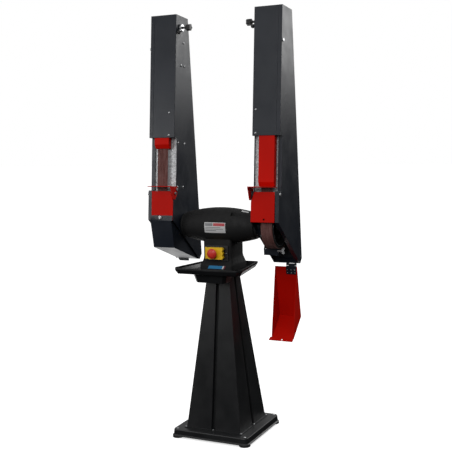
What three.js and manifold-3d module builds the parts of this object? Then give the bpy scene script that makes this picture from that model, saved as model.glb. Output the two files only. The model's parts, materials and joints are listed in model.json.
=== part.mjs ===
// Double belt grinder on a pedestal: one motor between two long belt arms. Millimetres, +Z up.
// The origin is on the floor under the middle of the base. The operator stands on the -Y side,
// and "left" and "right" are the operator's. Each arm is built in its own frame, whose origin is
// the motor shaft's axis, and is then leaned back about that axis.
import * as THREE from "three";
import { mergeVertices } from "three/addons/utils/BufferGeometryUtils.js";
import Module from "manifold-3d";

const wasm = await Module();
wasm.setup();

// ---------------------------------------------------------------- driving dimensions
const GAP = 0.3; // between pieces that touch
const SHEET = 2; // arm sheet metal

// Base and pedestal
const BASE_HALF = 173, BASE_CORNER_R = 18, BASE_BOTTOM = 8, BASE_TOP = 36.5, BASE_WALL = 6, BASE_LIP = 7;
const FOOT_R = 20, FOOT_FLARE_R = 24, FOOT_STUD_R = 5, FOOT_INSET = 17;
const PEDESTAL_FOOT = [126, 131], PEDESTAL_HEAD = [50, 50], PEDESTAL_SHEET = 3;
const PEDESTAL_FLANGE = 8;
const GROOVE_HALF_FOOT = 10, GROOVE_HALF_HEAD = 8, GROOVE_DEPTH = 13, GROOVE_FLOOR = 0.75;

// Tray
const TRAY_FLOOR = 706, TRAY_RIM = 731, TRAY_SHEET = 3;
const TRAY_FRONT = 170, TRAY_REAR = 115, TRAY_FRONT_HALF = 155, TRAY_REAR_HALF = 112;
const TRAY_CHAMFER = 14, TRAY_SLOPE = 9, TRAY_LIP = 8;
const WELL_HALF = 78, WELL_FLOOR = 668, WELL_FRONT = 141, WELL_REAR = 66, WELL_TAPER = 10;

// Neck and motor
const NECK_HALF = 65, NECK_FRONT = -55, NECK_REAR = 70, NECK_WALL = 8, NECK_TOP = 850;
const GLAND_AT = [30, 790];
const SHAFT_Z = 897;
const MOTOR_HALF = 166, MOTOR_MID_R = 77, MOTOR_END_R = 53, MOTOR_BORE_R = 46, MOTOR_EDGE = 3;
const MOTOR_CORE_X = [68, 130], MOTOR_CORE_R = 54;
const SADDLE_HALF = 66, STEP_Y = 40, STEP_Z = 46, STEP_TOP = 70;
const STATOR_HALF = 60, STATOR_BORE_R = 32, ROTOR_HALF = 55;
const SHAFT_R = 12, SHAFT_END_R = 10, SHAFT_HALF = 281, BEARING_R = 20, BEARING_WIDTH = 14;
const SPIGOT_R = 34, SPIGOT_END = 195, COLLAR_R = 44.5;

// Switch
const SWITCH_Z = 785, SWITCH_FRAME_HALF = [54, 32], SWITCH_FRONT = -61, SWITCH_BODY_HALF = [42, 27];
const FLAP_HALF = [42, 25], FLAP_DEPTH = 15, FLAP_PIN_X = -47, STOP_X = -8, START_X = 22;
const MUSHROOM_R = 19, BUTTON_R = 9;

// Arm: across X from its inner to its outer face, outline in Y and Z about the shaft
const LEAN = THREE.MathUtils.degToRad(5.3);
const IN = 180, OUT = 302, SEAM = 284.5, BELT_MID = 243;
const FRONT = -107.6, WINDOW_FRONT = -84, ARM_TOP = 887, COVER_BOTTOM = 367.5, BOX_TOP = 143;
const BOX_BOTTOM = 17, REAR_TOP = -4, REAR_SLOPE = 0.165, REAR_BOTTOM = -135;
const HEEL = [147, -158];

// Belt path
const BELT_WIDTH = 50, BELT_THICK = 1.5, DRIVE_R = 90.5, IDLER_R = 36, IDLER_Z = 800;
const BELT_INSIDE = -DRIVE_R;
const IDLER_Y = BELT_INSIDE + IDLER_R;
const BACK_PLATE = -78, BACK_PLATE_END = 296, BACK_PLATE_Z = [92, 425], PLATEN_Z = [118, 405];

// Controls and guards
const LEVER_AT = [-68, 836], LEVER_BALL = [-32, -25], KNOB_X = [131, 154];
const GUARD_HALF = 34.5, GUARD_FRONT = -104.8, GUARD_BACK = -82, GUARD_LENGTH = 240;
const GUARD_LOW = 163, GUARD_TRAVEL = 159, GUARD_BEVEL = [9, 17];
const REST_Z = 158, REST_THICK = 3, REST_Y = [-141, -95.5], REST_X = [176, 288];

// Quarter-turn locks on the outer cover, and the deflector under the drive wheel
const LOCK_AT = [[-99, 748], [-99, 129]], LOCK_R = 6, LOCK_PROUD = 5;
const CHUTE_TOP = [9, -94.5], CHUTE_FOOT = [14, -120.5], CHUTE_END = 255;

// Door under the drive wheel
const DOOR_X = [187, 288], DOOR_SHEET = 2, DOOR_LIP = -112.8, DOOR_LIP_TOP = 37;
const DOOR_FOLD = [-79, -101], DOOR_HEEL = [141, -158], HINGE_AT = [148, -164], HINGE_X = [238, 284];
const KNUCKLE_R = 4.5, PIN_R = 2, DOOR_OPEN = THREE.MathUtils.degToRad(120);

// ---------------------------------------------------------------- materials
const metal = (color, roughness, metalness) =>
  new THREE.MeshStandardMaterial({ color, roughness, metalness });
const LOOK = {
  coat: metal(0x34363a, 0.5, 0.2),
  blackCoat: metal(0x1e1f21, 0.4, 0.2),
  casting: metal(0x2b2d30, 0.65, 0.2),
  red: metal(0xb41c0e, 0.45, 0.1),
  belt: metal(0x6d3b38, 0.95, 0),
  zinc: metal(0xa4a7a8, 0.45, 0.8),
  steel: metal(0xb9bcc0, 0.3, 0.9),
  chrome: metal(0xd8dade, 0.12, 1),
  aluminium: metal(0xa9acb0, 0.4, 0.9),
  copper: metal(0xa9652f, 0.45, 0.6),
  black: metal(0x141516, 0.5, 0),
  rubber: metal(0x1a1a1b, 0.9, 0),
  yellow: metal(0xe8c32c, 0.45, 0),
  stop: metal(0xd8261c, 0.4, 0),
  green: metal(0x1d8a3c, 0.45, 0),
};

// ---------------------------------------------------------------- solids
function toSolid(geometry) {
  const plain = geometry.clone();
  for (const name of ["normal", "uv"]) plain.deleteAttribute(name);
  const merged = mergeVertices(plain, 1e-4);
  return new wasm.Manifold(new wasm.Mesh({
    numProp: 3,
    vertProperties: merged.attributes.position.array,
    triVerts: new Uint32Array(merged.index.array),
  }));
}

function toGeometry(solid) {
  const mesh = solid.getMesh();
  const geometry = new THREE.BufferGeometry();
  geometry.setAttribute("position", new THREE.BufferAttribute(mesh.vertProperties, 3));
  geometry.setIndex(new THREE.BufferAttribute(mesh.triVerts, 1));
  const faceted = geometry.toNonIndexed();
  faceted.computeVertexNormals();
  return faceted;
}

// Joins the first list of geometries, then cuts away the second.
function carve(kept, removed = []) {
  let solid = kept.map(toSolid).reduce((a, b) => a.add(b));
  for (const tool of removed) solid = solid.subtract(toSolid(tool));
  return toGeometry(solid);
}

const box = (x, y, z) =>
  new THREE.BoxGeometry(x[1] - x[0], y[1] - y[0], z[1] - z[0])
    .translate((x[0] + x[1]) / 2, (y[0] + y[1]) / 2, (z[0] + z[1]) / 2);

const shapeOf = (points) => new THREE.Shape(points.map(([a, b]) => new THREE.Vector2(a, b)));
const AXES = { x: new THREE.Vector3(1, 0, 0), y: new THREE.Vector3(0, 1, 0), z: new THREE.Vector3(0, 0, 1) };

function extruded(shape, depth, curveSegments = 8) {
  return new THREE.ExtrudeGeometry(shape, { depth, bevelEnabled: false, curveSegments });
}

// A slab across X from an outline in Y and Z.
function slabX(outline, x) {
  const shape = outline instanceof THREE.Shape ? outline : shapeOf(outline);
  return extruded(shape, x[1] - x[0])
    .applyMatrix4(new THREE.Matrix4().makeBasis(AXES.y, AXES.z, AXES.x))
    .translate(x[0], 0, 0);
}

// A slab through Y from an outline in X and Z.
function slabY(outline, y) {
  const shape = outline instanceof THREE.Shape ? outline : shapeOf(outline);
  return extruded(shape, y[1] - y[0])
    .applyMatrix4(new THREE.Matrix4().makeBasis(AXES.x, AXES.z, AXES.y.clone().negate()))
    .translate(0, y[1], 0);
}

// Turned pieces: profiles are [place along the axis, radius] and close on the axis or on themselves.
function turned(profile, segments) {
  return new THREE.LatheGeometry(profile.map(([along, r]) => new THREE.Vector2(r, along)), segments);
}
const turnedX = (profile, segments = 40) => turned(profile, segments).rotateZ(-Math.PI / 2);
const turnedY = (profile, segments = 32) => turned(profile, segments);
const turnedZ = (profile, segments = 32) => turned(profile, segments).rotateX(Math.PI / 2);
const rodX = (x, r, [y, z] = [0, 0], segments = 24) =>
  turnedX([[x[0], 0], [x[0], r], [x[1], r], [x[1], 0]], segments).translate(0, y, z);
const rodY = (y, r, [x, z], segments = 24) =>
  turnedY([[y[0], 0], [y[0], r], [y[1], r], [y[1], 0]], segments).translate(x, 0, z);
const rodZ = (z, r, [x, y], segments = 24) =>
  turnedZ([[z[0], 0], [z[0], r], [z[1], r], [z[1], 0]], segments).translate(x, y, 0);
// A ring about X whose profile closes on itself.
const ringX = (x, inner, outer, segments = 40) =>
  turnedX([[x[0], inner], [x[0], outer], [x[1], outer], [x[1], inner], [x[0], inner]], segments);

// A closed solid through rings of [x, y, z], all of one length, anticlockwise from above, lowest first.
function loft(rings) {
  const n = rings[0].length;
  const faces = [];
  for (let r = 0; r + 1 < rings.length; r++) {
    for (let i = 0; i < n; i++) {
      const a = r * n + i, b = r * n + ((i + 1) % n);
      faces.push(a, b, b + n, a, b + n, a + n);
    }
  }
  const cap = (ring) => THREE.ShapeUtils.triangulateShape(ring.map(([x, y]) => new THREE.Vector2(x, y)), []);
  for (const [a, b, c] of cap(rings[0])) faces.push(a, c, b);
  const top = (rings.length - 1) * n;
  for (const [a, b, c] of cap(rings.at(-1))) faces.push(top + a, top + b, top + c);
  const geometry = new THREE.BufferGeometry();
  geometry.setAttribute("position", new THREE.Float32BufferAttribute(rings.flat(2), 3));
  geometry.setIndex(faces);
  return geometry;
}

// An outline moved inwards by t, its points anticlockwise.
function inset(points, t) {
  const n = points.length;
  return points.map((p, i) => {
    const before = points[(i + n - 1) % n], after = points[(i + 1) % n];
    const u = new THREE.Vector2(p[0] - before[0], p[1] - before[1]).normalize();
    const v = new THREE.Vector2(after[0] - p[0], after[1] - p[1]).normalize();
    const nu = [-u.y, u.x], nv = [-v.y, v.x];
    const k = t / (1 + nu[0] * nv[0] + nu[1] * nv[1]);
    return [p[0] + k * (nu[0] + nv[0]), p[1] + k * (nu[1] + nv[1])];
  });
}

function roundedSquare(half, radius) {
  const shape = new THREE.Shape();
  [[1, 1, 0], [-1, 1, 1], [-1, -1, 2], [1, -1, 3]].forEach(([sx, sy, quarter]) => {
    const start = quarter * Math.PI / 2;
    shape.absarc(sx * (half - radius), sy * (half - radius), radius, start, start + Math.PI / 2, false);
  });
  return shape;
}

function mesh(name, look, geometry) {
  const made = new THREE.Mesh(geometry, LOOK[look].clone());
  made.name = name;
  return made;
}

const machine = new THREE.Group();

// ---------------------------------------------------------------- base
function addBase() {
  // A pressed plate whose sides slope out to a thin lip.
  const ring = (grow, z) =>
    roundedSquare(BASE_HALF + grow, BASE_CORNER_R + grow).getPoints(4).map((p) => [p.x, p.y, z]);
  const pressing = loft([ring(BASE_LIP, BASE_BOTTOM), ring(BASE_LIP, BASE_BOTTOM + 2),
    ring(2, BASE_BOTTOM + 6), ring(0, BASE_TOP - 3), ring(-2, BASE_TOP)]);
  const inner = roundedSquare(BASE_HALF - BASE_WALL, BASE_CORNER_R - BASE_WALL);
  const cavity = extruded(inner, BASE_TOP - BASE_WALL - 1);
  const cableHole = rodZ([0, BASE_TOP + 1], 20, [0, 0]);
  machine.add(mesh("base_plate", "blackCoat", carve([pressing], [cavity, cableHole])));
  const at = BASE_HALF - FOOT_INSET;
  const [pad, tip] = [BASE_BOTTOM - GAP, BASE_TOP - BASE_WALL - 1 - GAP];
  const profile = [[0, 0], [0, FOOT_FLARE_R], [3, FOOT_FLARE_R], [pad, FOOT_R], [pad, FOOT_STUD_R],
    [tip, FOOT_STUD_R], [tip, 0]];
  for (const [side, sx] of [["left", -1], ["right", 1]]) {
    for (const [end, sy] of [["front", -1], ["rear", 1]]) {
      machine.add(mesh(`${end}_${side}_foot`, "rubber", turnedZ(profile, 20).translate(sx * at, sy * at, 0)));
    }
  }
}

// A rectangle with a steep-sided groove down the middle of each side, anticlockwise from above.
function groovedRing([halfX, halfY], groove, depth, z) {
  const ring = [];
  const corners = [[-1, -1], [1, -1], [1, 1], [-1, 1]];
  corners.forEach(([sx, sy], i) => {
    const [tx, ty] = corners[(i + 1) % 4];
    const along = [(tx - sx) / 2, (ty - sy) / 2];
    const inward = [-(sx + tx) / 2, -(sy + ty) / 2];
    const middle = [halfX * (sx + tx) / 2, halfY * (sy + ty) / 2];
    ring.push([sx * halfX, sy * halfY, z]);
    const floor = GROOVE_FLOOR * groove;
    for (const [step, deep] of [[-groove, 0], [-floor, depth], [floor, depth], [groove, 0]]) {
      const [x, y] = [0, 1].map((axis) => middle[axis] + step * along[axis] + deep * inward[axis]);
      ring.push([x, y, z]);
    }
  });
  return ring;
}

function addPedestal() {
  const low = BASE_TOP + GAP, high = TRAY_FLOOR - GAP;
  const narrow = ([x, y]) => [x - PEDESTAL_SHEET, y - PEDESTAL_SHEET];
  const outside = loft([
    groovedRing(PEDESTAL_FOOT, GROOVE_HALF_FOOT, GROOVE_DEPTH, low),
    groovedRing(PEDESTAL_HEAD, GROOVE_HALF_HEAD, GROOVE_DEPTH, high),
  ]);
  const inside = loft([
    groovedRing(narrow(PEDESTAL_FOOT), GROOVE_HALF_FOOT, GROOVE_DEPTH, low - 1),
    groovedRing(narrow(PEDESTAL_HEAD), GROOVE_HALF_HEAD, GROOVE_DEPTH, high - PEDESTAL_SHEET),
  ]);
  const [fx, fy] = PEDESTAL_FOOT;
  const [wide, deep] = [fx + PEDESTAL_FLANGE, fy + PEDESTAL_FLANGE];
  const flange = box([-wide, wide], [-deep, deep], [low, low + PEDESTAL_SHEET]);
  const opening = box([-fx + 12, fx - 12], [-fy + 12, fy - 12], [low - 1, low + PEDESTAL_SHEET + 1]);
  const cableHole = rodZ([high - 10, high + 1], 16, [0, 0]);
  machine.add(mesh("pedestal", "blackCoat", carve([outside, flange], [inside, opening, cableHole])));
}

// ---------------------------------------------------------------- tray
function trayRing(grow, z) {
  const c = TRAY_CHAMFER;
  const half = [[TRAY_FRONT_HALF - c + grow, -TRAY_FRONT - grow],
    [TRAY_FRONT_HALF + grow, -TRAY_FRONT + 2 * c], [TRAY_REAR_HALF + grow, TRAY_REAR + grow]];
  const mirrored = half.map(([x, y]) => [-x, y]).reverse();
  return [...half, ...mirrored].map(([x, y]) => [x, y, z]);
}

function wellRing(grow, z) {
  const x = WELL_HALF + grow, front = -WELL_FRONT - grow, rear = -WELL_REAR + grow, c = 12;
  return [[-x, front + c, z], [-x + c, front, z], [x - c, front, z], [x, front + c, z],
    [x, rear, z], [-x, rear, z]];
}

function addTray() {
  const t = TRAY_SHEET;
  // The walls slope out and end in an upright lip.
  const [bend, over] = [TRAY_RIM - TRAY_LIP, TRAY_RIM + 1];
  const pan = loft([trayRing(-TRAY_SLOPE, TRAY_FLOOR), trayRing(0, bend), trayRing(0, TRAY_RIM)]);
  const panInside = loft([trayRing(-TRAY_SLOPE - t, TRAY_FLOOR + t), trayRing(-t, bend), trayRing(-t, over)]);
  const well = loft([wellRing(-WELL_TAPER, WELL_FLOOR), wellRing(0, TRAY_FLOOR + 1)]);
  const wellInside = loft([wellRing(-WELL_TAPER - t, WELL_FLOOR + t), wellRing(-t, TRAY_FLOOR + t + 1)]);
  const cableHole = rodZ([TRAY_FLOOR - 1, TRAY_FLOOR + t + 1], 16, [0, 0]);
  machine.add(mesh("tray", "blackCoat", carve([pan, well], [panInside, wellInside, cableHole])));
}

// ---------------------------------------------------------------- neck and motor
function neckRing(sides, ahead, z) {
  const x = NECK_HALF + sides, front = NECK_FRONT - ahead, rear = NECK_REAR + sides, c = 6;
  return [[-x, front + c, z], [-x + c, front, z], [x - c, front, z], [x, front + c, z],
    [x, rear - c, z], [x - c, rear, z], [-x + c, rear, z], [-x, rear - c, z]];
}

function addNeck() {
  const foot = TRAY_FLOOR + TRAY_SHEET + GAP;
  // How far the neck stands out at its sides and its front, from the foot up.
  const flare = [[11, 17, 0], [11, 17, 24], [8, 8, 32], [5, 0, 42], [2, 0, 51], [0, 0, 62]];
  const skirt = flare.map(([sides, ahead, up]) => neckRing(sides, ahead, foot + up));
  const body = loft([...skirt, neckRing(0, 0, NECK_TOP)]);
  const wall = -NECK_WALL;
  const inside = loft([neckRing(wall, wall, foot - 1), neckRing(wall, wall, NECK_TOP - 34)]);
  const saddle = rodX([-200, 200], MOTOR_MID_R + GAP, [0, SHAFT_Z], 36);
  const [bx, bz] = SWITCH_BODY_HALF;
  const switchHole = box([-bx - GAP, bx + GAP], [NECK_FRONT - 2, NECK_FRONT + NECK_WALL + 2],
    [SWITCH_Z - bz - GAP, SWITCH_Z + bz + GAP]);
  const glandHole = rodY([NECK_REAR - NECK_WALL - 2, NECK_REAR + 2], 8, GLAND_AT, 16);
  machine.add(mesh("neck", "casting", carve([body], [inside, saddle, switchHole, glandHole])));
  const [glandX, glandZ] = GLAND_AT, start = NECK_REAR - NECK_WALL - 4, seat = NECK_REAR + 0.4;
  const [nut, nose] = [NECK_REAR + 9, NECK_REAR + 18];
  const gland = turnedY([[start, 4], [start, 7.6], [seat, 7.6], [seat, 12], [nut, 12], [nose, 8],
    [nose, 4], [start, 4]], 14);
  machine.add(mesh("cable_gland", "black", gland.translate(glandX, 0, glandZ)));
}

function barrelRadius(x) {
  return MOTOR_MID_R - (MOTOR_MID_R - MOTOR_END_R) * (x / MOTOR_HALF) ** 2;
}

function addMotor() {
  const profile = [[-MOTOR_HALF, MOTOR_BORE_R], [-MOTOR_HALF, MOTOR_END_R - MOTOR_EDGE]];
  for (let step = -4; step <= 4; step++) {
    const x = step / 4 * (MOTOR_HALF - MOTOR_EDGE);
    profile.push([x, barrelRadius(x)]);
  }
  // The bore is cored out between the stator and each end.
  const [near, far] = MOTOR_CORE_X;
  profile.push([MOTOR_HALF, MOTOR_END_R - MOTOR_EDGE], [MOTOR_HALF, MOTOR_BORE_R],
    [far, MOTOR_BORE_R], [far, MOTOR_CORE_R], [near, MOTOR_CORE_R], [near, MOTOR_BORE_R],
    [-near, MOTOR_BORE_R], [-near, MOTOR_CORE_R], [-far, MOTOR_CORE_R], [-far, MOTOR_BORE_R],
    [-MOTOR_HALF, MOTOR_BORE_R]);
  // The ends are stepped down beside the middle saddle, front and back.
  const pockets = [];
  for (const sx of [-1, 1]) {
    for (const sy of [-1, 1]) {
      const x = [sx * SADDLE_HALF, sx * (MOTOR_HALF - 12)].sort((a, b) => a - b);
      const y = [sy * STEP_Y, sy * (MOTOR_MID_R + 3)].sort((a, b) => a - b);
      pockets.push(box(x, y, [STEP_Z, STEP_TOP]));
    }
  }
  const housing = carve([turnedX(profile, 36)], pockets).translate(0, 0, SHAFT_Z);
  machine.add(mesh("motor_housing", "casting", housing));
  machine.add(mesh("stator", "copper",
    ringX([-STATOR_HALF, STATOR_HALF], STATOR_BORE_R, MOTOR_BORE_R - 2 * GAP, 24).translate(0, 0, SHAFT_Z)));
  for (const [side, sx] of [["left", -1], ["right", 1]]) {
    const bell = turnedX([[MOTOR_HALF + GAP, SHAFT_R + 1], [MOTOR_HALF + GAP, MOTOR_END_R - MOTOR_EDGE],
      [MOTOR_HALF + 9, MOTOR_END_R - MOTOR_EDGE], [MOTOR_HALF + 9, SPIGOT_R], [SPIGOT_END, SPIGOT_R],
      [SPIGOT_END, SHAFT_R + 1], [MOTOR_HALF + GAP, SHAFT_R + 1]], 28);
    const seat = rodX([MOTOR_HALF, MOTOR_HALF + BEARING_WIDTH + 2], BEARING_R + GAP, [0, 0], 20);
    const made = carve([bell], [seat]);
    const bearing = ringX([MOTOR_HALF + 1, MOTOR_HALF + 1 + BEARING_WIDTH], SHAFT_R + GAP, BEARING_R, 20);
    for (const [name, look, geometry] of [["end_bell", "casting", made], ["bearing", "steel", bearing]]) {
      if (sx < 0) geometry.rotateZ(Math.PI);
      machine.add(mesh(`${side}_${name}`, look, geometry.translate(0, 0, SHAFT_Z)));
    }
  }
  const [h, e] = [MOTOR_HALF + 20, SHAFT_HALF];
  const shaft = turnedX([[-e, 0], [-e, SHAFT_END_R], [-h, SHAFT_END_R], [-h, SHAFT_R],
    [h, SHAFT_R], [h, SHAFT_END_R], [e, SHAFT_END_R], [e, 0]], 16);
  machine.add(mesh("motor_shaft", "steel", shaft.translate(0, 0, SHAFT_Z)));
  machine.add(mesh("rotor", "steel",
    ringX([-ROTOR_HALF, ROTOR_HALF], SHAFT_R + 2 * GAP, STATOR_BORE_R - 2, 20).translate(0, 0, SHAFT_Z)));
}

function addContactWheel(side, sx) {
  const half = BELT_WIDTH / 2, r = DRIVE_R - GAP, web = 6, bore = SHAFT_END_R + GAP;
  const [inner, outer] = [-half - 8, half + 6];
  const wheel = turnedX([[inner, bore], [inner, 24], [-web, 24], [-web, r - 14], [-half, r - 12],
    [-half, r - 2], [-half + 2, r], [half - 2, r], [half, r - 2], [half, r - 12], [web, r - 14],
    [web, 24], [outer, 24], [outer, bore], [inner, bore]], 40);
  if (sx < 0) wheel.rotateZ(Math.PI);
  machine.add(mesh(`${side}_contact_wheel`, "aluminium", wheel.translate(sx * BELT_MID, 0, SHAFT_Z)));
}

// ---------------------------------------------------------------- switch
function addSwitch() {
  const [fx, fz] = SWITCH_FRAME_HALF, [bx, bz] = SWITCH_BODY_HALF;
  const z = (half) => [SWITCH_Z - half, SWITCH_Z + half];
  const frame = box([-fx, fx], [SWITCH_FRONT, NECK_FRONT - GAP], z(fz));
  const body = box([-bx, bx], [NECK_FRONT - 1, NECK_FRONT + 36], z(bz));
  const pocket = box([-bx + 4, bx - 4], [SWITCH_FRONT - 1, SWITCH_FRONT + 9], z(bz - 5));
  const deep = [SWITCH_FRONT, SWITCH_FRONT + 26];
  const wells = [STOP_X, START_X].map((x) => rodY(deep, BUTTON_R + 0.6, [x, SWITCH_Z]));
  machine.add(mesh("switch_body", "black", carve([frame, body], [pocket, ...wells])));
  for (const [name, look, x] of [["stop_button", "stop", STOP_X], ["start_button", "green", START_X]]) {
    machine.add(mesh(name, look, rodY([SWITCH_FRONT + 4, SWITCH_FRONT + 18], BUTTON_R, [x, SWITCH_Z])));
  }
  // The yellow flap: a lid whose free edge has three finger lobes, hinged on its left edge.
  const [lx, lz] = FLAP_HALF;
  const back = SWITCH_FRONT - 1.2, front = back - FLAP_DEPTH, t = 2;
  const lobes = new THREE.Shape();
  lobes.moveTo(-lx, -lz);
  lobes.lineTo(lx - 6, -lz);
  const lobe = 2 * lz / 3;
  for (let i = 0; i < 3; i++) {
    const z0 = -lz + i * lobe;
    lobes.quadraticCurveTo(lx + 4, z0 + lobe / 2, lx - 6, z0 + lobe);
  }
  lobes.lineTo(-lx, lz);
  lobes.closePath();
  const lid = slabY(lobes, [front, back]).translate(0, 0, SWITCH_Z);
  const inside = box([-lx + t, lx - 9], [front + t, back + 1], z(lz - t));
  const stemHole = rodY([front - 1, front + t + 1], 7, [STOP_X, SWITCH_Z]);
  const pivot = rodZ(z(lz), 3, [FLAP_PIN_X, back - 4.5], 16);
  const tongue = box([FLAP_PIN_X, -lx + 1], [back - 6.5, back - 2.5], z(lz));
  machine.add(mesh("switch_flap", "yellow", carve([lid, pivot, tongue], [inside, stemHole])));
  const r = MUSHROOM_R, end = back - 1;
  const cap = turnedY([[front - 22, 0], [front - 22, 10], [front - 20, r - 3], [front - 16, r],
    [front - 12, r], [front - 9, 12], [front - 6, 6.4], [end, 6.4], [end, 0]], 24);
  machine.add(mesh("emergency_stop", "stop", cap.translate(STOP_X, 0, SWITCH_Z)));
}

// ---------------------------------------------------------------- arm
const rearAt = (z) => REAR_TOP + REAR_SLOPE * (ARM_TOP - z);
// The arm's side outline in Y and Z, anticlockwise. Its lower edge is the door's diagonal.
const SIDE = [[FRONT, BOX_BOTTOM], HEEL, [rearAt(REAR_BOTTOM), REAR_BOTTOM], [rearAt(ARM_TOP), ARM_TOP],
  [FRONT, ARM_TOP], [FRONT, COVER_BOTTOM], [WINDOW_FRONT, COVER_BOTTOM], [WINDOW_FRONT, BOX_TOP],
  [FRONT, BOX_TOP]];
const diagonalAt = (y) => BOX_BOTTOM + (HEEL[1] - BOX_BOTTOM) * (y - FRONT) / (HEEL[0] - FRONT);

function sideFrame() {
  // Inner side plate with the rear and top walls folded from it, and the front left open.
  const beyond = FRONT - 40, below = HEEL[1] - 70;
  const [, heel, rearLow, rearHigh] = inset(SIDE, SHEET);
  const hollow = [[beyond, below], [heel[0], below], heel, rearLow, rearHigh, [beyond, ARM_TOP - SHEET]];
  const shell = slabX(SIDE, [IN, SEAM]);
  const shaftHole = rodX([IN - 1, IN + SHEET + 12], SPIGOT_R + 0.6, [0, 0], 28);
  const collar = rodX([IN + 0.5, IN + SHEET + 10], COLLAR_R, [0, 0], 28);
  const leverHole = rodX([IN - 1, IN + SHEET + 1], 7.8, LEVER_AT, 16);
  const seatBack = FRONT + SHEET + GAP;
  const coverSeat = box([IN - 1, SEAM + 1], [FRONT - 1, seatBack], [COVER_BOTTOM - GAP, ARM_TOP + 1]);
  const cupLug = box([IN + 1, IN + 14], [IDLER_Y - 9, IDLER_Y + 9], [690, 722]);
  const cup = rodZ([690, 722], 11.5, [IN + 23, IDLER_Y], 14);
  const cupBore = rodZ([692, 723], 9.2, [IN + 23, IDLER_Y], 14);
  const body = toSolid(shell).subtract(toSolid(slabX(hollow, [IN + SHEET, SEAM + 1])));
  return toGeometry([collar, cupLug, cup].map(toSolid).reduce((a, b) => a.add(b), body)
    .subtract(toSolid(shaftHole)).subtract(toSolid(leverHole)).subtract(toSolid(cupBore))
    .subtract(toSolid(coverSeat)));
}

function outerCover() {
  const locks = LOCK_AT.map((at) => rodX([OUT - 0.5, OUT + LOCK_PROUD], LOCK_R, at, 16));
  return carve([slabX(SIDE, [SEAM + 0.5, OUT]), ...locks], [slabX(inset(SIDE, SHEET), [SEAM, OUT - SHEET])]);
}

function frontCover() {
  const t = SHEET, x = [IN, SEAM], z = [COVER_BOTTOM, ARM_TOP], back = FRONT + 14;
  const trimmed = box([x[0] - 1, IN + t + GAP], [FRONT + t, back + 1], [z[0] - 1, z[1] + 1]);
  const hollow = box([IN + 2 * t + GAP, SEAM - t], [FRONT + t, back + 1], [z[0] - 1, z[1] + 1]);
  const headroom = box([x[0] - 1, x[1] + 1], [FRONT + t, back + 1], [ARM_TOP - t - GAP, ARM_TOP + 1]);
  return carve([box(x, [FRONT, back], z)], [trimmed, hollow, headroom]);
}

function backPlate() {
  // Galvanised plate behind the belt, folded back along the inner side plate.
  const t = SHEET, x = IN + SHEET + GAP;
  return carve([box([x, BACK_PLATE_END], [BACK_PLATE, BACK_PLATE + t], BACK_PLATE_Z),
    box([x, x + t], [BACK_PLATE, -12], BACK_PLATE_Z)]);
}

function beltOutline(offset) {
  // The belt's loop about the drive wheel and the idler, as tangent arcs, at the given offset.
  const R = DRIVE_R + offset, r = IDLER_R + offset;
  const dy = IDLER_Y, dz = IDLER_Z, distance = Math.hypot(dy, dz);
  const toIdler = Math.atan2(dz, dy), swing = Math.acos((R - r) / distance);
  const shape = new THREE.Shape();
  const drive = [toIdler + swing, toIdler - swing + 2 * Math.PI];
  shape.absarc(0, 0, R, drive[0], drive[1], false);
  shape.absarc(dy, dz, r, toIdler - swing, toIdler + swing, false);
  shape.closePath();
  return shape;
}

function belt() {
  const x = [BELT_MID - BELT_WIDTH / 2, BELT_MID + BELT_WIDTH / 2];
  const slab = (offset, grow) => extruded(beltOutline(offset), x[1] - x[0] + 2 * grow, 20)
    .applyMatrix4(new THREE.Matrix4().makeBasis(AXES.y, AXES.z, AXES.x)).translate(x[0] - grow, 0, 0);
  return carve([slab(BELT_THICK, 0)], [slab(0, 1)]);
}

function idlerSlide() {
  const x = IN + 7.5;
  const plate = box([x, x + 5.5], [IDLER_Y - 24, IDLER_Y + 24], [745, 826]);
  const ledge = box([x + 5, x + 26], [IDLER_Y - 10, IDLER_Y + 10], [745, 750]);
  return carve([plate, rodX([x + 5, 272], 8, [IDLER_Y, IDLER_Z], 20), ledge]);
}

function idlerWheel() {
  const half = BELT_WIDTH / 2 + 1, r = IDLER_R - GAP;
  return turnedX([[-half, 8.4], [-half, r - 1], [0, r], [half, r - 1], [half, 8.4], [-half, 8.4]], 36)
    .translate(BELT_MID, IDLER_Y, IDLER_Z);
}

class Helix extends THREE.Curve {
  constructor(radius, height, turns) {
    super();
    Object.assign(this, { radius, height, turns });
  }
  getPoint(t, target = new THREE.Vector3()) {
    const a = 2 * Math.PI * this.turns * t;
    return target.set(this.radius * Math.cos(a), this.radius * Math.sin(a), this.height * t);
  }
}

function tensionSpring() {
  const wire = new THREE.Shape().absarc(0, 0, 1.1, 0, 2 * Math.PI, false);
  const coil = new THREE.ExtrudeGeometry(wire,
    { extrudePath: new Helix(6.8, 34.5, 5), steps: 45, curveSegments: 2, bevelEnabled: false });
  return toGeometry(toSolid(coil.translate(IN + 23, IDLER_Y, 708.5)));
}

function tensionLever() {
  const [y, z] = LEVER_AT, [by, bz] = LEVER_BALL;
  const boss = turnedX([[169, 5.4], [169, 15], [171, 17], [177, 17], [179.4, 13], [179.4, 7],
    [186, 7], [186, 5.4], [169, 5.4]], 20).translate(0, y, z);
  const length = Math.hypot(by, bz);
  const arm = new THREE.CylinderGeometry(3.6, 3.6, length - 12, 8).rotateX(Math.atan2(bz, by))
    .translate(174, y + by * 0.6, z + bz * 0.6);
  const ball = new THREE.SphereGeometry(8.5, 12, 8).translate(171, y + by, z + bz);
  return carve([boss, arm, ball]);
}

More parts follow.
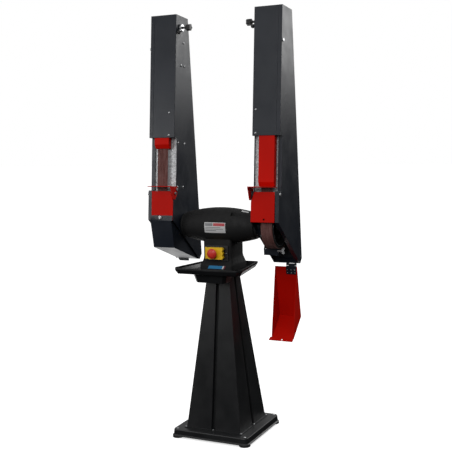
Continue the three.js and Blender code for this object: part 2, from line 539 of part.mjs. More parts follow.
function trackingKnob() {
  const [x0, x1] = KNOB_X, shape = new THREE.Shape(), lobes = 5, steps = 25;
  for (let i = 0; i < steps; i++) {
    const a = 2 * Math.PI * i / steps, r = 13 + 1.6 * Math.cos(lobes * a);
    shape[i ? "lineTo" : "moveTo"](r * Math.cos(a), r * Math.sin(a));
  }
  shape.closePath();
  const collar = rodX([x1 - 5, x1], 9, [0, 0], 16), stem = rodX([x1 - 1, 185], 5, [0, 0], 12);
  return carve([slabX(shape, [x0, x1 - 4]), collar, stem]).translate(0, ...LEVER_AT);
}

function beltGuard() {
  const t = 2, [by, bz] = GUARD_BEVEL;
  const [x0, x1] = [BELT_MID - GUARD_HALF, BELT_MID + GUARD_HALF];
  const side = [[GUARD_FRONT + by, 0], [GUARD_BACK, 0], [GUARD_BACK, GUARD_LENGTH], [GUARD_FRONT, GUARD_LENGTH],
    [GUARD_FRONT, bz]];
  const inner = [[GUARD_FRONT + by + t, -1], [GUARD_BACK + 1, -1], [GUARD_BACK + 1, GUARD_LENGTH + 1],
    [GUARD_FRONT + t, GUARD_LENGTH + 1], [GUARD_FRONT + t, bz]];
  return carve([slabX(side, [x0, x1])], [slabX(inner, [x0 + t, x1 - t])]).translate(0, 0, GUARD_LOW);
}

function toolRest() {
  const [y0, y1] = REST_Y, [x0, x1] = REST_X, low = 106;
  const plate = box([x0, x1], [y0, y1], [REST_Z, REST_Z + REST_THICK]);
  const hanging = [[y0, REST_Z + 1], [-119, low], [-98, low], [-82, 128], [-82, REST_Z + 1]];
  const cheek = slabX(hanging, [x0, x0 + 3]);
  const top = box([x0, x0 + 3], [y1 - 2, -82], [REST_Z - 4, REST_Z + REST_THICK]);
  return carve([plate, cheek, top]);
}

function lowerPlate() {
  const x = [IN + GAP, SEAM - GAP], y = [FRONT - 2.7, FRONT - 0.7];
  const face = slabY([[x[0], BOX_BOTTOM], [x[1], BOX_BOTTOM], [x[1], 140], [x[0] + 14, 140], [x[0], 100]], y);
  const lug = box([IN + SHEET + GAP, IN + 2 * SHEET + GAP], [y[0] + 1, FRONT + 22], [40, 96]);
  const studHole = rodY([y[0] - 1, y[1] + 1], 4, [BELT_MID - 5, 28.5], 16);
  return carve([face, lug], [studHole]);
}

function dustChute() {
  // A deflector plate across the box, hung from a bracket that clears the closed door's cheek.
  const t = 1.5, x = DOOR_X[0] + DOOR_SHEET + 1, wall = IN + SHEET + GAP, y = [20, 46], z = -62;
  const [[topY, topZ], [footY, footZ]] = [CHUTE_TOP, CHUTE_FOOT];
  const plate = [[topY, topZ], [footY, footZ], [footY + t, footZ], [topY + t, topZ]];
  const hanger = [[y[0], z], [topY + 0.5, topZ], [footY + 1, footZ + 12], [y[1], z]];
  const shelf = box([wall, x + SHEET], y, [z - SHEET, z]);
  const backLeg = box([wall, wall + SHEET], y, [z - SHEET, z + 22]);
  return carve([slabX(plate, [x, CHUTE_END]), slabX(hanger, [x, x + SHEET]), shelf, backLeg]);
}

function door() {
  const t = DOOR_SHEET, [x0, x1] = DOOR_X, [fy, fz] = DOOR_FOLD, [hy, hz] = DOOR_HEEL;
  const skin = [[DOOR_LIP, DOOR_LIP_TOP], [DOOR_LIP, BOX_BOTTOM - 2], [fy, fz], [hy, hz],
    [hy, hz + t], [fy + t, fz + t + 0.8], [DOOR_LIP + t, BOX_BOTTOM - 2], [DOOR_LIP + t, DOOR_LIP_TOP]];
  const lipEnd = box([IN + GAP, x0 + 1], [DOOR_LIP, DOOR_LIP + t], [BOX_BOTTOM - 2, DOOR_LIP_TOP]);
  const under = -1.7, heelTop = Math.max(diagonalAt(hy) + under, hz + t);
  const cheek = [[DOOR_LIP + 1, BOX_BOTTOM - 2.2], [fy, fz], [hy, hz], [hy, heelTop],
    [FRONT, BOX_BOTTOM + under]];
  const knuckle = rodX([250, 276], KNUCKLE_R, HINGE_AT, 20);
  const strap = slabX([[137, -159.2], [147, -168], [151, -161.5], [137, -155.5]], [250, 276]);
  const leaf = slabX([[110, -149], [138, -156.5], [138, -153.2], [110, -145.8]], HINGE_X);
  const pinBore = rodX([249, 277], PIN_R + 0.4, HINGE_AT, 16);
  const studHole = rodY([DOOR_LIP - 1, DOOR_LIP + t + 1], 4, [BELT_MID - 5, 28.5], 16);
  const pan = [slabX(skin, [x0, x1]), slabX(cheek, [x0, x0 + t]), slabX(cheek, [x1 - t, x1]), lipEnd];
  return carve([...pan, knuckle, strap, leaf], [pinBore, studHole])
    .translate(0, -HINGE_AT[0], -HINGE_AT[1]);
}

function hingeLeaf() {
  // Lies on the outside of the frame's heel, and its knuckles hold the pin.
  const heel = new THREE.Vector2(...HEEL);
  const along = new THREE.Vector2(rearAt(REAR_BOTTOM) - HEEL[0], REAR_BOTTOM - HEEL[1]).normalize();
  const out = new THREE.Vector2(along.y, -along.x);
  const at = (s, o) => {
    const p = heel.clone().addScaledVector(along, s).addScaledVector(out, o);
    return [p.x, p.y];
  };
  const strip = (s0, s1, x) => slabX([at(s0, 0.4), at(s0, 2.4), at(s1, 2.4), at(s1, 0.4)], x);
  const pieces = [strip(4, 25, HINGE_X), rodX(HINGE_X, PIN_R, HINGE_AT, 16)];
  for (const x of [[HINGE_X[0], 249.5], [276.5, HINGE_X[1]]]) {
    pieces.push(strip(-3, 5, x), rodX(x, KNUCKLE_R, HINGE_AT, 20));
  }
  return carve(pieces);
}

function latchKnob() {
  const y = DOOR_LIP - GAP;
  const knob = turnedY([[y - 6, 0], [y - 6, 6], [y - 5, 7], [y - 1, 7], [y, 6], [y, 3.4],
    [y + 2, 3.4], [y + 2, 0]], 20);
  return carve([knob, box([-2, 2], [y - 9, y - 5], [-6, 6])]).translate(BELT_MID - 5, 0, 28.5);
}

// ---------------------------------------------------------------- assembly
function addArm(side, sx, pose) {
  const arm = new THREE.Group();
  arm.position.z = SHAFT_Z;
  arm.rotation.x = -LEAN;
  arm.scale.x = sx;
  machine.add(arm);
  const add = (name, look, geometry, parent = arm) => parent.add(mesh(`${side}_${name}`, look, geometry));
  add("side_frame", "coat", sideFrame());
  add("outer_cover", "coat", outerCover());
  add("front_cover", "coat", frontCover());
  add("back_plate", "zinc", backPlate());
  const platenY = [BELT_INSIDE + GAP, BACK_PLATE - GAP];
  add("platen", "steel", box([BELT_MID - 24, BELT_MID + 24], platenY, PLATEN_Z));
  add("belt", "belt", belt());
  add("idler_slide", "steel", idlerSlide());
  add("idler_wheel", "aluminium", idlerWheel());
  add("tension_spring", "steel", tensionSpring());
  add("tension_lever", "chrome", tensionLever());
  add("tracking_knob", "black", trackingKnob());
  add("tool_rest", "red", toolRest());
  add("lower_plate", "red", lowerPlate());
  add("dust_chute", "coat", dustChute());
  add("hinge_leaf", "zinc", hingeLeaf());
  const guardPlace = new THREE.Group();
  guardPlace.position.z = pose.guardLift;
  arm.add(guardPlace);
  add("belt_guard", "red", beltGuard(), guardPlace);
  const doorPlace = new THREE.Group();
  doorPlace.position.set(0, ...HINGE_AT);
  doorPlace.rotation.x = pose.doorAngle;
  arm.add(doorPlace);
  add("door", pose.doorLook, door(), doorPlace);
  if (pose.latched) add("latch_knob", "black", latchKnob());
}

addBase();
addPedestal();
addTray();
addNeck();
addMotor();
addSwitch();
for (const [side, sx] of [["left", -1], ["right", 1]]) addContactWheel(side, sx);
addArm("left", -1, { doorAngle: 0, doorLook: "coat", guardLift: GUARD_TRAVEL, latched: true });
addArm("right", 1, { doorAngle: DOOR_OPEN, doorLook: "red", guardLift: 0, latched: false });

export default machine;
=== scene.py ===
"""Double belt grinder on a pedestal: the shown surfaces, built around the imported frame.

Lengths inside the shape functions are millimetres. Pieces of an arm are drawn in the right arm's own
frame (x to the right, y to the rear, z up the arm, from the motor shaft's axis) and placed by
arm_matrix, which mirrors them for the left arm. A contact wheel and the motor's plates are drawn about
the shaft's axis, and every other piece in the frame of the machine. The camera and the studio are in
metres.
"""

import json
import math

import bmesh
import bpy
from mathutils import Matrix, Vector


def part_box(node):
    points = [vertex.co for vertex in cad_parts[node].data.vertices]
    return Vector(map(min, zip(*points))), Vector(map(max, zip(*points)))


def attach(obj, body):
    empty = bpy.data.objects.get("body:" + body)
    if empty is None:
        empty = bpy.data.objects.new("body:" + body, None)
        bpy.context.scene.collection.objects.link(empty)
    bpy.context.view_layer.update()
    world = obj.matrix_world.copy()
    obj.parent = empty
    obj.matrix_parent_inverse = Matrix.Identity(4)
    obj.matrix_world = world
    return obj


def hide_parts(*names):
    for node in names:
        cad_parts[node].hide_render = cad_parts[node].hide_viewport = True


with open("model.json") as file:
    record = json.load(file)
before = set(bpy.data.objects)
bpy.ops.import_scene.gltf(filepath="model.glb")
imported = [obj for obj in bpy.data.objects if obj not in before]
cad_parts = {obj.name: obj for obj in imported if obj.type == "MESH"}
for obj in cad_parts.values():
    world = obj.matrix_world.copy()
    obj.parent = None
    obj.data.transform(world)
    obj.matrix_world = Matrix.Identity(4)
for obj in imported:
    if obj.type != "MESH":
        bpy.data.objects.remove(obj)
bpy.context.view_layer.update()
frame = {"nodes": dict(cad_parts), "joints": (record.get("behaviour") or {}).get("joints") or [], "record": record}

MM = 0.001
NODES = frame["nodes"]
JOINTS = {joint["name"]: joint for joint in frame["joints"]}
SIDES = {"left": -1, "right": 1}

# ------------------------------------------------------------------ places taken from the frame
SHAFT = Vector(JOINTS["shaft_spin"]["pos_m"])
ARM_UP = Vector(JOINTS["right_guard_slide"]["axis"]).normalized()
ARM_REAR = Vector((0, ARM_UP.z, -ARM_UP.y))
MACHINE = Matrix.Scale(MM, 4)


def arm_matrix(side):
    """From the right arm's own millimetres to the machine's metres."""
    across = Vector((SIDES[side], 0, 0))
    turn = Matrix((across, ARM_REAR, ARM_UP)).transposed().to_4x4()
    return Matrix.Translation(Vector((0, 0, SHAFT.z))) @ turn @ MACHINE


def arm_local(side, point):
    """A point in the machine's metres, in the arm's own millimetres."""
    return arm_matrix(side).inverted() @ Vector(point)


def span(node):
    """The node's lowest and highest corners, in millimetres."""
    low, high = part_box(node)
    return Vector(low) / MM, Vector(high) / MM


# Driving sizes of the arms, as the frame has them
BELT_HALF = (span("right_belt")[1].x - span("right_belt")[0].x) / 2
BELT_MID = (span("right_belt")[1].x + span("right_belt")[0].x) / 2
WHEEL_R = (span("right_contact_wheel")[1].z - span("right_contact_wheel")[0].z) / 2
IDLER_R = (span("right_idler_wheel")[1].z - span("right_idler_wheel")[0].z) / 2
IDLER_AT = arm_local("right", JOINTS["right_idler_spin"]["pos_m"])
LEVER_AT = arm_local("right", JOINTS["right_lever_turn"]["pos_m"])
BELT_THICK = 1.5
INNER_X = span("right_side_frame")[0].x
LOCK_PROUD = 5
OUTER_X = span("right_outer_cover")[1].x - LOCK_PROUD
HINGE_AT = arm_local("right", JOINTS["right_door_swing"]["pos_m"])
DOOR_ANGLE = {"left": 0, "right": 120}
MOTOR_HALF = span("motor_housing")[1].x
MOTOR_R = (span("motor_housing")[1].z - span("motor_housing")[0].z) / 2
BELL_R = (span("right_end_bell")[1].z - span("right_end_bell")[0].z) / 2

# ------------------------------------------------------------------ materials


class Shader:
    """A node material, with short calls for the nodes that this scene uses."""

    def __init__(self, name, roughness, metallic=0.0, specular=0.5):
        self.material = bpy.data.materials.new(name)
        self.material.use_nodes = True
        self.tree = self.material.node_tree
        self.surface = self.tree.nodes["Principled BSDF"]
        self.surface.inputs["Metallic"].default_value = metallic
        self.surface.inputs["Roughness"].default_value = roughness
        self.surface.inputs["Specular IOR Level"].default_value = specular
        self.place = self.tree.nodes.new("ShaderNodeTexCoord").outputs["Object"]

    def link(self, output, target):
        self.tree.links.new(output, target)

    def stretched(self, scale):
        """The place, scaled along each axis, for grain that runs one way."""
        mapping = self.tree.nodes.new("ShaderNodeMapping")
        mapping.inputs["Scale"].default_value = scale
        self.link(self.place, mapping.inputs["Vector"])
        return mapping.outputs["Vector"]

    def noise(self, scale, detail=3.0, rough=0.55, place=None):
        node = self.tree.nodes.new("ShaderNodeTexNoise")
        node.inputs["Scale"].default_value = scale
        node.inputs["Detail"].default_value = detail
        node.inputs["Roughness"].default_value = rough
        self.link(place or self.place, node.inputs["Vector"])
        return node.outputs["Fac"]

    def cells(self, scale, output="Color"):
        node = self.tree.nodes.new("ShaderNodeTexVoronoi")
        node.inputs["Scale"].default_value = scale
        self.link(self.place, node.inputs["Vector"])
        return node.outputs[output]

    def ramp(self, value, stops):
        """stops are (place, colour) pairs."""
        node = self.tree.nodes.new("ShaderNodeValToRGB")
        ends = node.color_ramp.elements
        while len(ends) < len(stops):
            ends.new(0.5)
        for end, (at, colour) in zip(ends, stops):
            end.position = at
            end.color = (*colour, 1)
        self.link(value, node.inputs["Fac"])
        return node.outputs["Color"]

    def mix(self, factor, a, b):
        node = self.tree.nodes.new("ShaderNodeMix")
        node.data_type = "RGBA"
        for name, value in (("Factor", factor), ("A", a), ("B", b)):
            # The node has sockets of each name for each kind of data, and only the colour's are enabled
            socket = next(s for s in node.inputs if s.name == name and s.enabled)
            if isinstance(value, (int, float, tuple)):
                socket.default_value = value
            else:
                self.link(value, socket)
        return next(s for s in node.outputs if s.enabled)

    def between(self, value, low, high):
        node = self.tree.nodes.new("ShaderNodeMapRange")
        node.inputs["From Min"].default_value = 0.3
        node.inputs["From Max"].default_value = 0.7
        node.inputs["To Min"].default_value = low
        node.inputs["To Max"].default_value = high
        self.link(value, node.inputs["Value"])
        return node.outputs["Result"]

    def colour(self, output):
        self.link(output, self.surface.inputs["Base Color"])
        return self

    def roughness(self, output):
        self.link(output, self.surface.inputs["Roughness"])
        return self

    def bump(self, height, strength, distance):
        node = self.tree.nodes.new("ShaderNodeBump")
        node.inputs["Strength"].default_value = strength
        node.inputs["Distance"].default_value = distance
        self.link(height, node.inputs["Height"])
        if self.surface.inputs["Normal"].links:
            self.link(self.surface.inputs["Normal"].links[0].from_socket, node.inputs["Normal"])
        self.link(node.outputs["Normal"], self.surface.inputs["Normal"])
        return self


def shade(colour, factor):
    return tuple(min(1.0, channel * factor) for channel in colour)


def painted(name, colour, roughness, peel=900, depth=0.00004, strength=0.25, spread=0.12, specular=0.5):
    """Powder coat: a fine orange peel, and broad faint changes of colour and gloss."""
    s = Shader(name, roughness, specular=specular)
    broad = s.noise(5, 4)
    s.colour(s.ramp(broad, [(0.3, shade(colour, 1 - spread)), (0.7, shade(colour, 1 + spread))]))
    s.roughness(s.between(s.noise(14, 3), roughness - 0.05, roughness + 0.07))
    s.bump(s.noise(peel, 2), strength, depth)
    return s.material


def casting_paint(name, colour):
    """Thick paint over a sand casting: pebbled, with painted shade in its hollows and a painted highlight on its
    bumps.
    """
    s = Shader(name, 0.7, specular=0.24)
    grain = s.noise(650, 4, 0.6)
    # The pebbles' height also sets their colour: painted shade in the hollows and a painted highlight on the bumps
    s.colour(s.ramp(grain, [(0.3, shade(colour, 0.75)), (0.7, shade(colour, 1.3))]))
    s.roughness(s.between(s.noise(40, 3), 0.58, 0.78))
    s.bump(s.noise(90, 3), 0.25, 0.0004)
    s.bump(grain, 0.45, 0.00025)
    return s.material


def abrasive(name):
    """Brown grit glued on cloth, with a painted highlight on each grain and painted shade round it, worn and
    loaded in lengthwise streaks.
    """
    s = Shader(name, 0.95, specular=0.25)
    grit = s.cells(1900, "Distance")
    # Grit colours: top is a painted highlight on each grain, the flank colour is painted shade, and gap is the
    # darker cloth between grains with painted shade on it
    top, painted_shade_flank, gap = (0.26, 0.115, 0.10), (0.13, 0.05, 0.044), (0.05, 0.018, 0.016)
    speckle = s.ramp(grit, [(0.05, top), (0.45, painted_shade_flank), (0.8, gap)])
    streaks = s.noise(60, 3, 0.6, s.stretched((3.0, 0.35, 0.35)))
    loaded = s.ramp(streaks, [(0.4, (0, 0, 0)), (0.75, (0.6, 0.6, 0.6))])
    dust = (0.25, 0.14, 0.13, 1)
    s.colour(s.mix(loaded, speckle, dust))
    s.bump(grit, 0.9, 0.0003)
    return s.material


def galvanised(name):
    """Zinc spangle: flat crystals of slightly different greys."""
    s = Shader(name, 0.42, metallic=0.35)
    crystal = s.ramp(s.cells(230), [(0.2, (0.20, 0.205, 0.21)), (0.8, (0.66, 0.67, 0.68))])
    dark, mid, bright = (0.14, 0.145, 0.15), (0.42, 0.43, 0.44), (0.78, 0.79, 0.8)
    speckle = s.ramp(s.noise(230, 5, 0.7), [(0.4, dark), (0.5, mid), (0.6, bright)])
    s.colour(s.mix(0.6, crystal, speckle))
    s.roughness(s.between(s.noise(120, 3), 0.32, 0.5))
    s.bump(s.noise(500, 3), 0.15, 0.0001)
    return s.material


def drawn_metal(name, colour, roughness, along, metallic=1.0, depth=0.00004):
    """Bright metal with tool marks that run along one axis."""
    s = Shader(name, roughness, metallic=metallic)
    scale = [240.0 if axis != along else 8.0 for axis in "xyz"]
    marks = s.noise(6, 4, 0.6, s.stretched(scale))
    s.colour(s.ramp(marks, [(0.3, shade(colour, 0.82)), (0.7, shade(colour, 1.12))]))
    s.roughness(s.between(marks, roughness - 0.08, roughness + 0.1))
    s.bump(marks, 0.3, depth)
    return s.material


def moulded(name, colour, roughness, grain=1400, depth=0.00005):
    """Moulded plastic or rubber: an even colour with a fine grain and faint flow marks."""
    s = Shader(name, roughness)
    s.colour(s.ramp(s.noise(25, 3), [(0.3, shade(colour, 0.9)), (0.7, shade(colour, 1.08))]))
    s.roughness(s.between(s.noise(60, 2), roughness - 0.05, roughness + 0.06))
    s.bump(s.noise(grain, 2), 0.3, depth)
    return s.material


LOOKS = {
    "coat": painted("coat_paint", (0.0115, 0.0150, 0.0230), 0.36),
    "black_coat": painted("black_coat_paint", (0.0085, 0.0090, 0.0100), 0.36),
    "casting": casting_paint("casting_black", (0.011, 0.011, 0.0115)),
    "red_paint": painted("red_powder_coat", (0.56, 0.0055, 0.0012), 0.44, spread=0.08, specular=0.08),
    "abrasive": abrasive("abrasive_cloth"),
    "zinc": galvanised("galvanised_sheet"),
    "steel": drawn_metal("turned_steel", (0.55, 0.56, 0.57), 0.3, "x"),
    "chrome": drawn_metal("chrome_plate", (0.62, 0.63, 0.64), 0.22, "x", metallic=0.85, depth=0.00001),
    "aluminium": drawn_metal("machined_aluminium", (0.5, 0.51, 0.52), 0.38, "x"),
    "motor_iron": drawn_metal("laminated_iron", (0.2, 0.17, 0.14), 0.5, "y"),
    "black_plastic": moulded("black_nylon", (0.012, 0.012, 0.013), 0.45),
    "rubber": moulded("black_rubber", (0.014, 0.014, 0.014), 0.75, grain=700, depth=0.0001),
    "yellow_plastic": moulded("yellow_abs", (0.90, 0.56, 0.012), 0.4),
    "red_plastic": moulded("red_abs", (0.66, 0.035, 0.025), 0.32),
    "green_plastic": moulded("green_abs", (0.02, 0.22, 0.05), 0.35),
}

# ------------------------------------------------------------------ mesh helpers


SHARP_ANGLE = math.radians(32)


def finish_piece(name, shape, place, body, slot, replaces=(), look=None):
    """Turns a bmesh drawn in millimetres into a shown piece that rides on a body."""
    shape.transform(place)
    bmesh.ops.recalc_face_normals(shape, faces=shape.faces)
    mesh = bpy.data.meshes.new(name)
    shape.to_mesh(mesh)
    shape.free()
    mesh.shade_smooth()
    mesh.set_sharp_from_angle(angle=SHARP_ANGLE)
    piece = bpy.data.objects.new(name, mesh)
    bpy.context.scene.collection.objects.link(piece)
    mesh.materials.append(look or LOOKS[slot])
    weighted = piece.modifiers.new("weighted", "WEIGHTED_NORMAL")
    weighted.keep_sharp = True
    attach(piece, body)
    if replaces:
        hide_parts(*replaces)
    return piece


def machine_piece(name, shape, body, slot, *replaced):
    """A piece drawn in the machine's own millimetres."""
    return finish_piece(name, shape, MACHINE, body, slot, replaced)


def arm_piece(side, name, shape, part, slot, *replaced):
    """A piece drawn in the arm's own millimetres. The side is put before the name, part and nodes."""
    nodes = [f"{side}_{node}" for node in replaced]
    return finish_piece(f"{side}_{name}", shape, arm_matrix(side), f"{side}_{part}", slot, nodes)


def body_of(node):
    bodies = frame["record"]["behaviour"]["bodies"]
    return next(name for name, members in bodies.items() if node in members)


def slot_of(node):
    return next(part["material_slot"] for part in frame["record"]["subparts"] if part["node"] == node)


def refined(node, width, steps, angle=25, slot=None, reach=None):
    """The frame's own solid, its facets joined and its edges rounded as folded or cast metal is.

    reach is how far from the machine's middle it may stand out, in millimetres.
    """
    shape = bmesh.new()
    shape.from_mesh(NODES[node].data)
    if reach:
        for vert in shape.verts:
            vert.co.x = max(-reach * MM, min(reach * MM, vert.co.x))
    bmesh.ops.remove_doubles(shape, verts=shape.verts, dist=2e-5)
    bmesh.ops.dissolve_limit(shape, angle_limit=math.radians(0.5), verts=shape.verts, edges=shape.edges)
    round_edges(shape, width * MM, steps, angle)
    finish = slot or slot_of(node)
    return finish_piece(node + "_shell", shape, Matrix.Identity(4), body_of(node), finish, (node,))


def lathe(profile, steps, at=(0, 0, 0), axis="X"):
    """A turned solid from (along, radius) pairs. It closes on the axis, or on itself."""
    shape = bmesh.new()
    closed = profile[0] == profile[-1]
    points = profile[:-1] if closed else profile
    rings = []
    for along, radius in points:
        count = 1 if radius < 1e-6 else steps
        ring = []
        for i in range(count):
            turn = 2 * math.pi * i / steps
            ring.append(shape.verts.new((along, radius * math.cos(turn), radius * math.sin(turn))))
        rings.append(ring)
    pairs = list(zip(rings, rings[1:])) + ([(rings[-1], rings[0])] if closed else [])
    for a, b in pairs:
        for i in range(steps):
            j = (i + 1) % steps
            corners = [a[i % len(a)], a[j % len(a)], b[j % len(b)], b[i % len(b)]]
            unique = list(dict.fromkeys(corners))
            if len(unique) > 2:
                shape.faces.new(unique)
    from_x = {"X": Matrix.Identity(4), "Y": Matrix.Rotation(math.pi / 2, 4, "Z"),
              "Z": Matrix.Rotation(-math.pi / 2, 4, "Y")}
    shape.transform(Matrix.Translation(Vector(at)) @ from_x[axis])
    return shape


def rounded(profile, radius, steps=3):
    """A profile with each of its corners rounded. Its ends stay where they are."""
    closed = profile[0] == profile[-1]
    points = [Vector(p) for p in (profile[:-1] if closed else profile)]
    out = []
    for i, corner in enumerate(points):
        if not closed and i in (0, len(points) - 1):
            out.append(tuple(corner))
            continue
        before, after = points[i - 1], points[(i + 1) % len(points)]
        r = min(radius, (before - corner).length * 0.45, (after - corner).length * 0.45)
        start = corner + (before - corner).normalized() * r
        end = corner + (after - corner).normalized() * r
        for k in range(steps + 1):
            t = k / steps
            out.append(tuple((1 - t) ** 2 * start + 2 * t * (1 - t) * corner + t ** 2 * end))
    if closed:
        out.append(out[0])
    return out


def joined(*shapes):
    """One bmesh that holds all the given ones."""
    whole = bmesh.new()
    for shape in shapes:
        spare = bpy.data.meshes.new("spare")
        shape.to_mesh(spare)
        shape.free()
        whole.from_mesh(spare)
        bpy.data.meshes.remove(spare)
    return whole


def carved(shape, cutters, bevel=0.0):
    """The shape less the cutters, with the new sharp edges rounded."""
    objects = []
    for part in (shape, *cutters):
        bmesh.ops.recalc_face_normals(part, faces=part.faces)
        mesh = bpy.data.meshes.new("spare")
        part.to_mesh(mesh)
        part.free()
        made = bpy.data.objects.new("spare", mesh)
        bpy.context.scene.collection.objects.link(made)
        objects.append(made)
    body = objects[0]
    for cutter in objects[1:]:
        cut = body.modifiers.new("cut", "BOOLEAN")
        cut.operation = "DIFFERENCE"
        cut.solver = "EXACT"
        cut.object = cutter
    depsgraph = bpy.context.evaluated_depsgraph_get()
    result = bmesh.new()
    result.from_mesh(body.evaluated_get(depsgraph).to_mesh())
    for made in objects:
        bpy.data.objects.remove(made)
    bmesh.ops.remove_doubles(result, verts=result.verts, dist=0.01)
    if bevel:
        round_edges(result, bevel, 3, 40)
    return result


def round_edges(shape, width, steps=2, angle=30):
    edges = [e for e in shape.edges if e.is_manifold and e.calc_face_angle(0) > math.radians(angle)]
    bmesh.ops.bevel(shape, geom=edges, offset=width, offset_type="OFFSET", segments=steps, profile=0.5,
                    affect="EDGES", clamp_overlap=True)
    return shape


def block(low, high, bevel=0.0, steps=2):
    """A box with rounded edges."""
    shape = bmesh.new()
    bmesh.ops.create_cube(shape, size=1)
    low, high = Vector(low), Vector(high)
    shape.transform(Matrix.Translation((low + high) / 2) @ Matrix.Diagonal((*(high - low), 1)))
    return round_edges(shape, bevel, steps) if bevel else shape


def prism(outline, low, high, axis="Y"):
    """An outline pushed along an axis: (x, z) pairs along Y, (y, z) along X, (x, y) along Z."""
    shape = bmesh.new()
    order = {"X": (2, 0, 1), "Y": (0, 2, 1), "Z": (0, 1, 2)}[axis]
    ends = []
    for depth in (low, high):
        spots = [(a, b, depth) for a, b in outline]
        ends.append([shape.verts.new([spot[k] for k in order]) for spot in spots])
    shape.faces.new(ends[0])
    shape.faces.new(ends[1])
    count = len(outline)
    for i in range(count):
        j = (i + 1) % count
        shape.faces.new((ends[0][i], ends[0][j], ends[1][j], ends[1][i]))
    return shape


def facing(at, normal):
    """Places a thing drawn along +X so that it stands on the point along the normal."""
    return Matrix.Translation(Vector(at)) @ Vector(normal).to_track_quat("X", "Z").to_matrix().to_4x4()


def button_screw(at, normal, radius):
    """A low domed screw head with a hexagon socket."""
    dome = [(0, 0), (0, 1), (0.2, 1), (0.45, 0.82), (0.62, 0.5), (0.62, 0)]
    hexagon = [(0.25, 0), (0.25, 0.33), (1, 0.33), (1, 0)]
    head, socket = (lathe([(radius * along, radius * out) for along, out in profile], steps)
                    for profile, steps in ((dome, 24), (hexagon, 6)))
    shape = carved(head, [socket])
    shape.transform(facing(at, normal))
    return shape


def hex_bolt(at, normal, radius):
    """A hexagon head on a round washer."""
    seat, wide = 1.4, radius * 1.35
    side, top = seat + radius * 0.6, seat + radius * 0.72
    washer = lathe(rounded([(0, 0), (0, wide), (seat, wide), (seat, 0)], 0.3), 32)
    head = lathe([(seat, 0), (seat, radius), (side, radius), (top, radius * 0.84), (top, 0)], 6)
    shape = joined(washer, head)
    shape.transform(facing(at, normal))
    return shape


# ------------------------------------------------------------------ base, pedestal and tray
BASE_TOP = span("base_plate")[1].z
FLANGE = span("pedestal")[1]
FLANGE_TOP = BASE_TOP + 3.3
FOOT_PAD, FOOT_STUD_R = 7.7, 5


def stand():
    refined("base_plate", 0.9, 3)
    screws = []
    for end in ("front", "rear"):
        for side in SIDES:
            node = f"{end}_{side}_foot"
            low, high = span(node)
            x, y, radius = (low.x + high.x) / 2, (low.y + high.y) / 2, (high.x - low.x) / 2
            waist, stud = radius - 1.6, FOOT_STUD_R
            profile = [(0, 0), (0, radius), (3, radius), (4, waist), (5, waist), (FOOT_PAD, radius - 4),
                       (FOOT_PAD, stud), (high.z, stud), (high.z, 0)]
            foot = lathe(rounded(profile, 1.0), 48, (x, y, low.z), "Z")
            machine_piece(node + "_rubber", foot, "stand", "rubber", node)
            screws.append(button_screw((x, y, BASE_TOP), (0, 0, 1), 5))
    machine_piece("foot_screws", joined(*screws), "stand", "steel")
    refined("pedestal", 1.2, 3)
    inset = 5.5
    across, deep = FLANGE.x - inset, FLANGE.y - inset
    spots = [(sx * across, sy * deep, FLANGE_TOP) for sx in (-1, 0, 1) for sy in (-1, 0, 1) if sx or sy]
    bolts = [hex_bolt(spot, (0, 0, 1), 3.4) for spot in spots]
    machine_piece("pedestal_bolts", joined(*bolts), "stand", "steel")
    refined("tray", 1.3, 3)


# ------------------------------------------------------------------ neck, motor and wheels
MOTOR_EDGE, SADDLE_HALF = 3, 66
STEP_Y, STEP_Z, STEP_TOP = 40, 46, 70
MOTOR_END_R = BELL_R + MOTOR_EDGE
MOTOR_BORE_R = (span("stator")[1].z - span("stator")[0].z) / 2 + 1
SPIGOT_R, BELL_BORE_R, BELL_DEPTH = 34, 13, 9
SHAFT_R, SHAFT_END_R, SHAFT_STEP = 12, 10, MOTOR_HALF + 20
AT_SHAFT = (0, 0, SHAFT.z / MM)


def barrel_radius(x):
    return MOTOR_R - (MOTOR_R - MOTOR_END_R) * (x / MOTOR_HALF) ** 2


def motor_patch(name, across, around, lift, look, thick=0.4):
    """A thin plate that follows the motor's barrel. Angles are degrees up from straight ahead."""
    columns, rows = 12, 8
    shape = bmesh.new()
    sheets = []
    for layer in (lift, lift + thick):
        sheet = {}
        for i in range(columns + 1):
            x = across[0] + (across[1] - across[0]) * i / columns
            r = barrel_radius(x) + layer
            for j in range(rows + 1):
                turn = math.radians(around[0] + (around[1] - around[0]) * j / rows)
                sheet[i, j] = shape.verts.new((x, -r * math.cos(turn), r * math.sin(turn)))
        sheets.append(sheet)
    for sheet in sheets:
        for i in range(columns):
            for j in range(rows):
                corners = ((i, j), (i + 1, j), (i + 1, j + 1), (i, j + 1))
                shape.faces.new([sheet[corner] for corner in corners])
    rim = [(i, 0) for i in range(columns)] + [(columns, j) for j in range(rows)]
    rim += [(i, rows) for i in range(columns, 0, -1)] + [(0, j) for j in range(rows, 0, -1)]
    low, high = sheets
    for a, b in zip(rim, rim[1:] + rim[:1]):
        shape.faces.new((low[a], low[b], high[b], high[a]))
    place = Matrix.Translation((0, 0, SHAFT.z)) @ MACHINE
    finish_piece(name, shape, place, "stand", "aluminium", look=look)


def printed(name, colour):
    """Printed foil: an even ink with a faint mottle."""
    return painted(name, colour, 0.4, peel=1600, depth=0.00002, strength=0.1, spread=0.05)


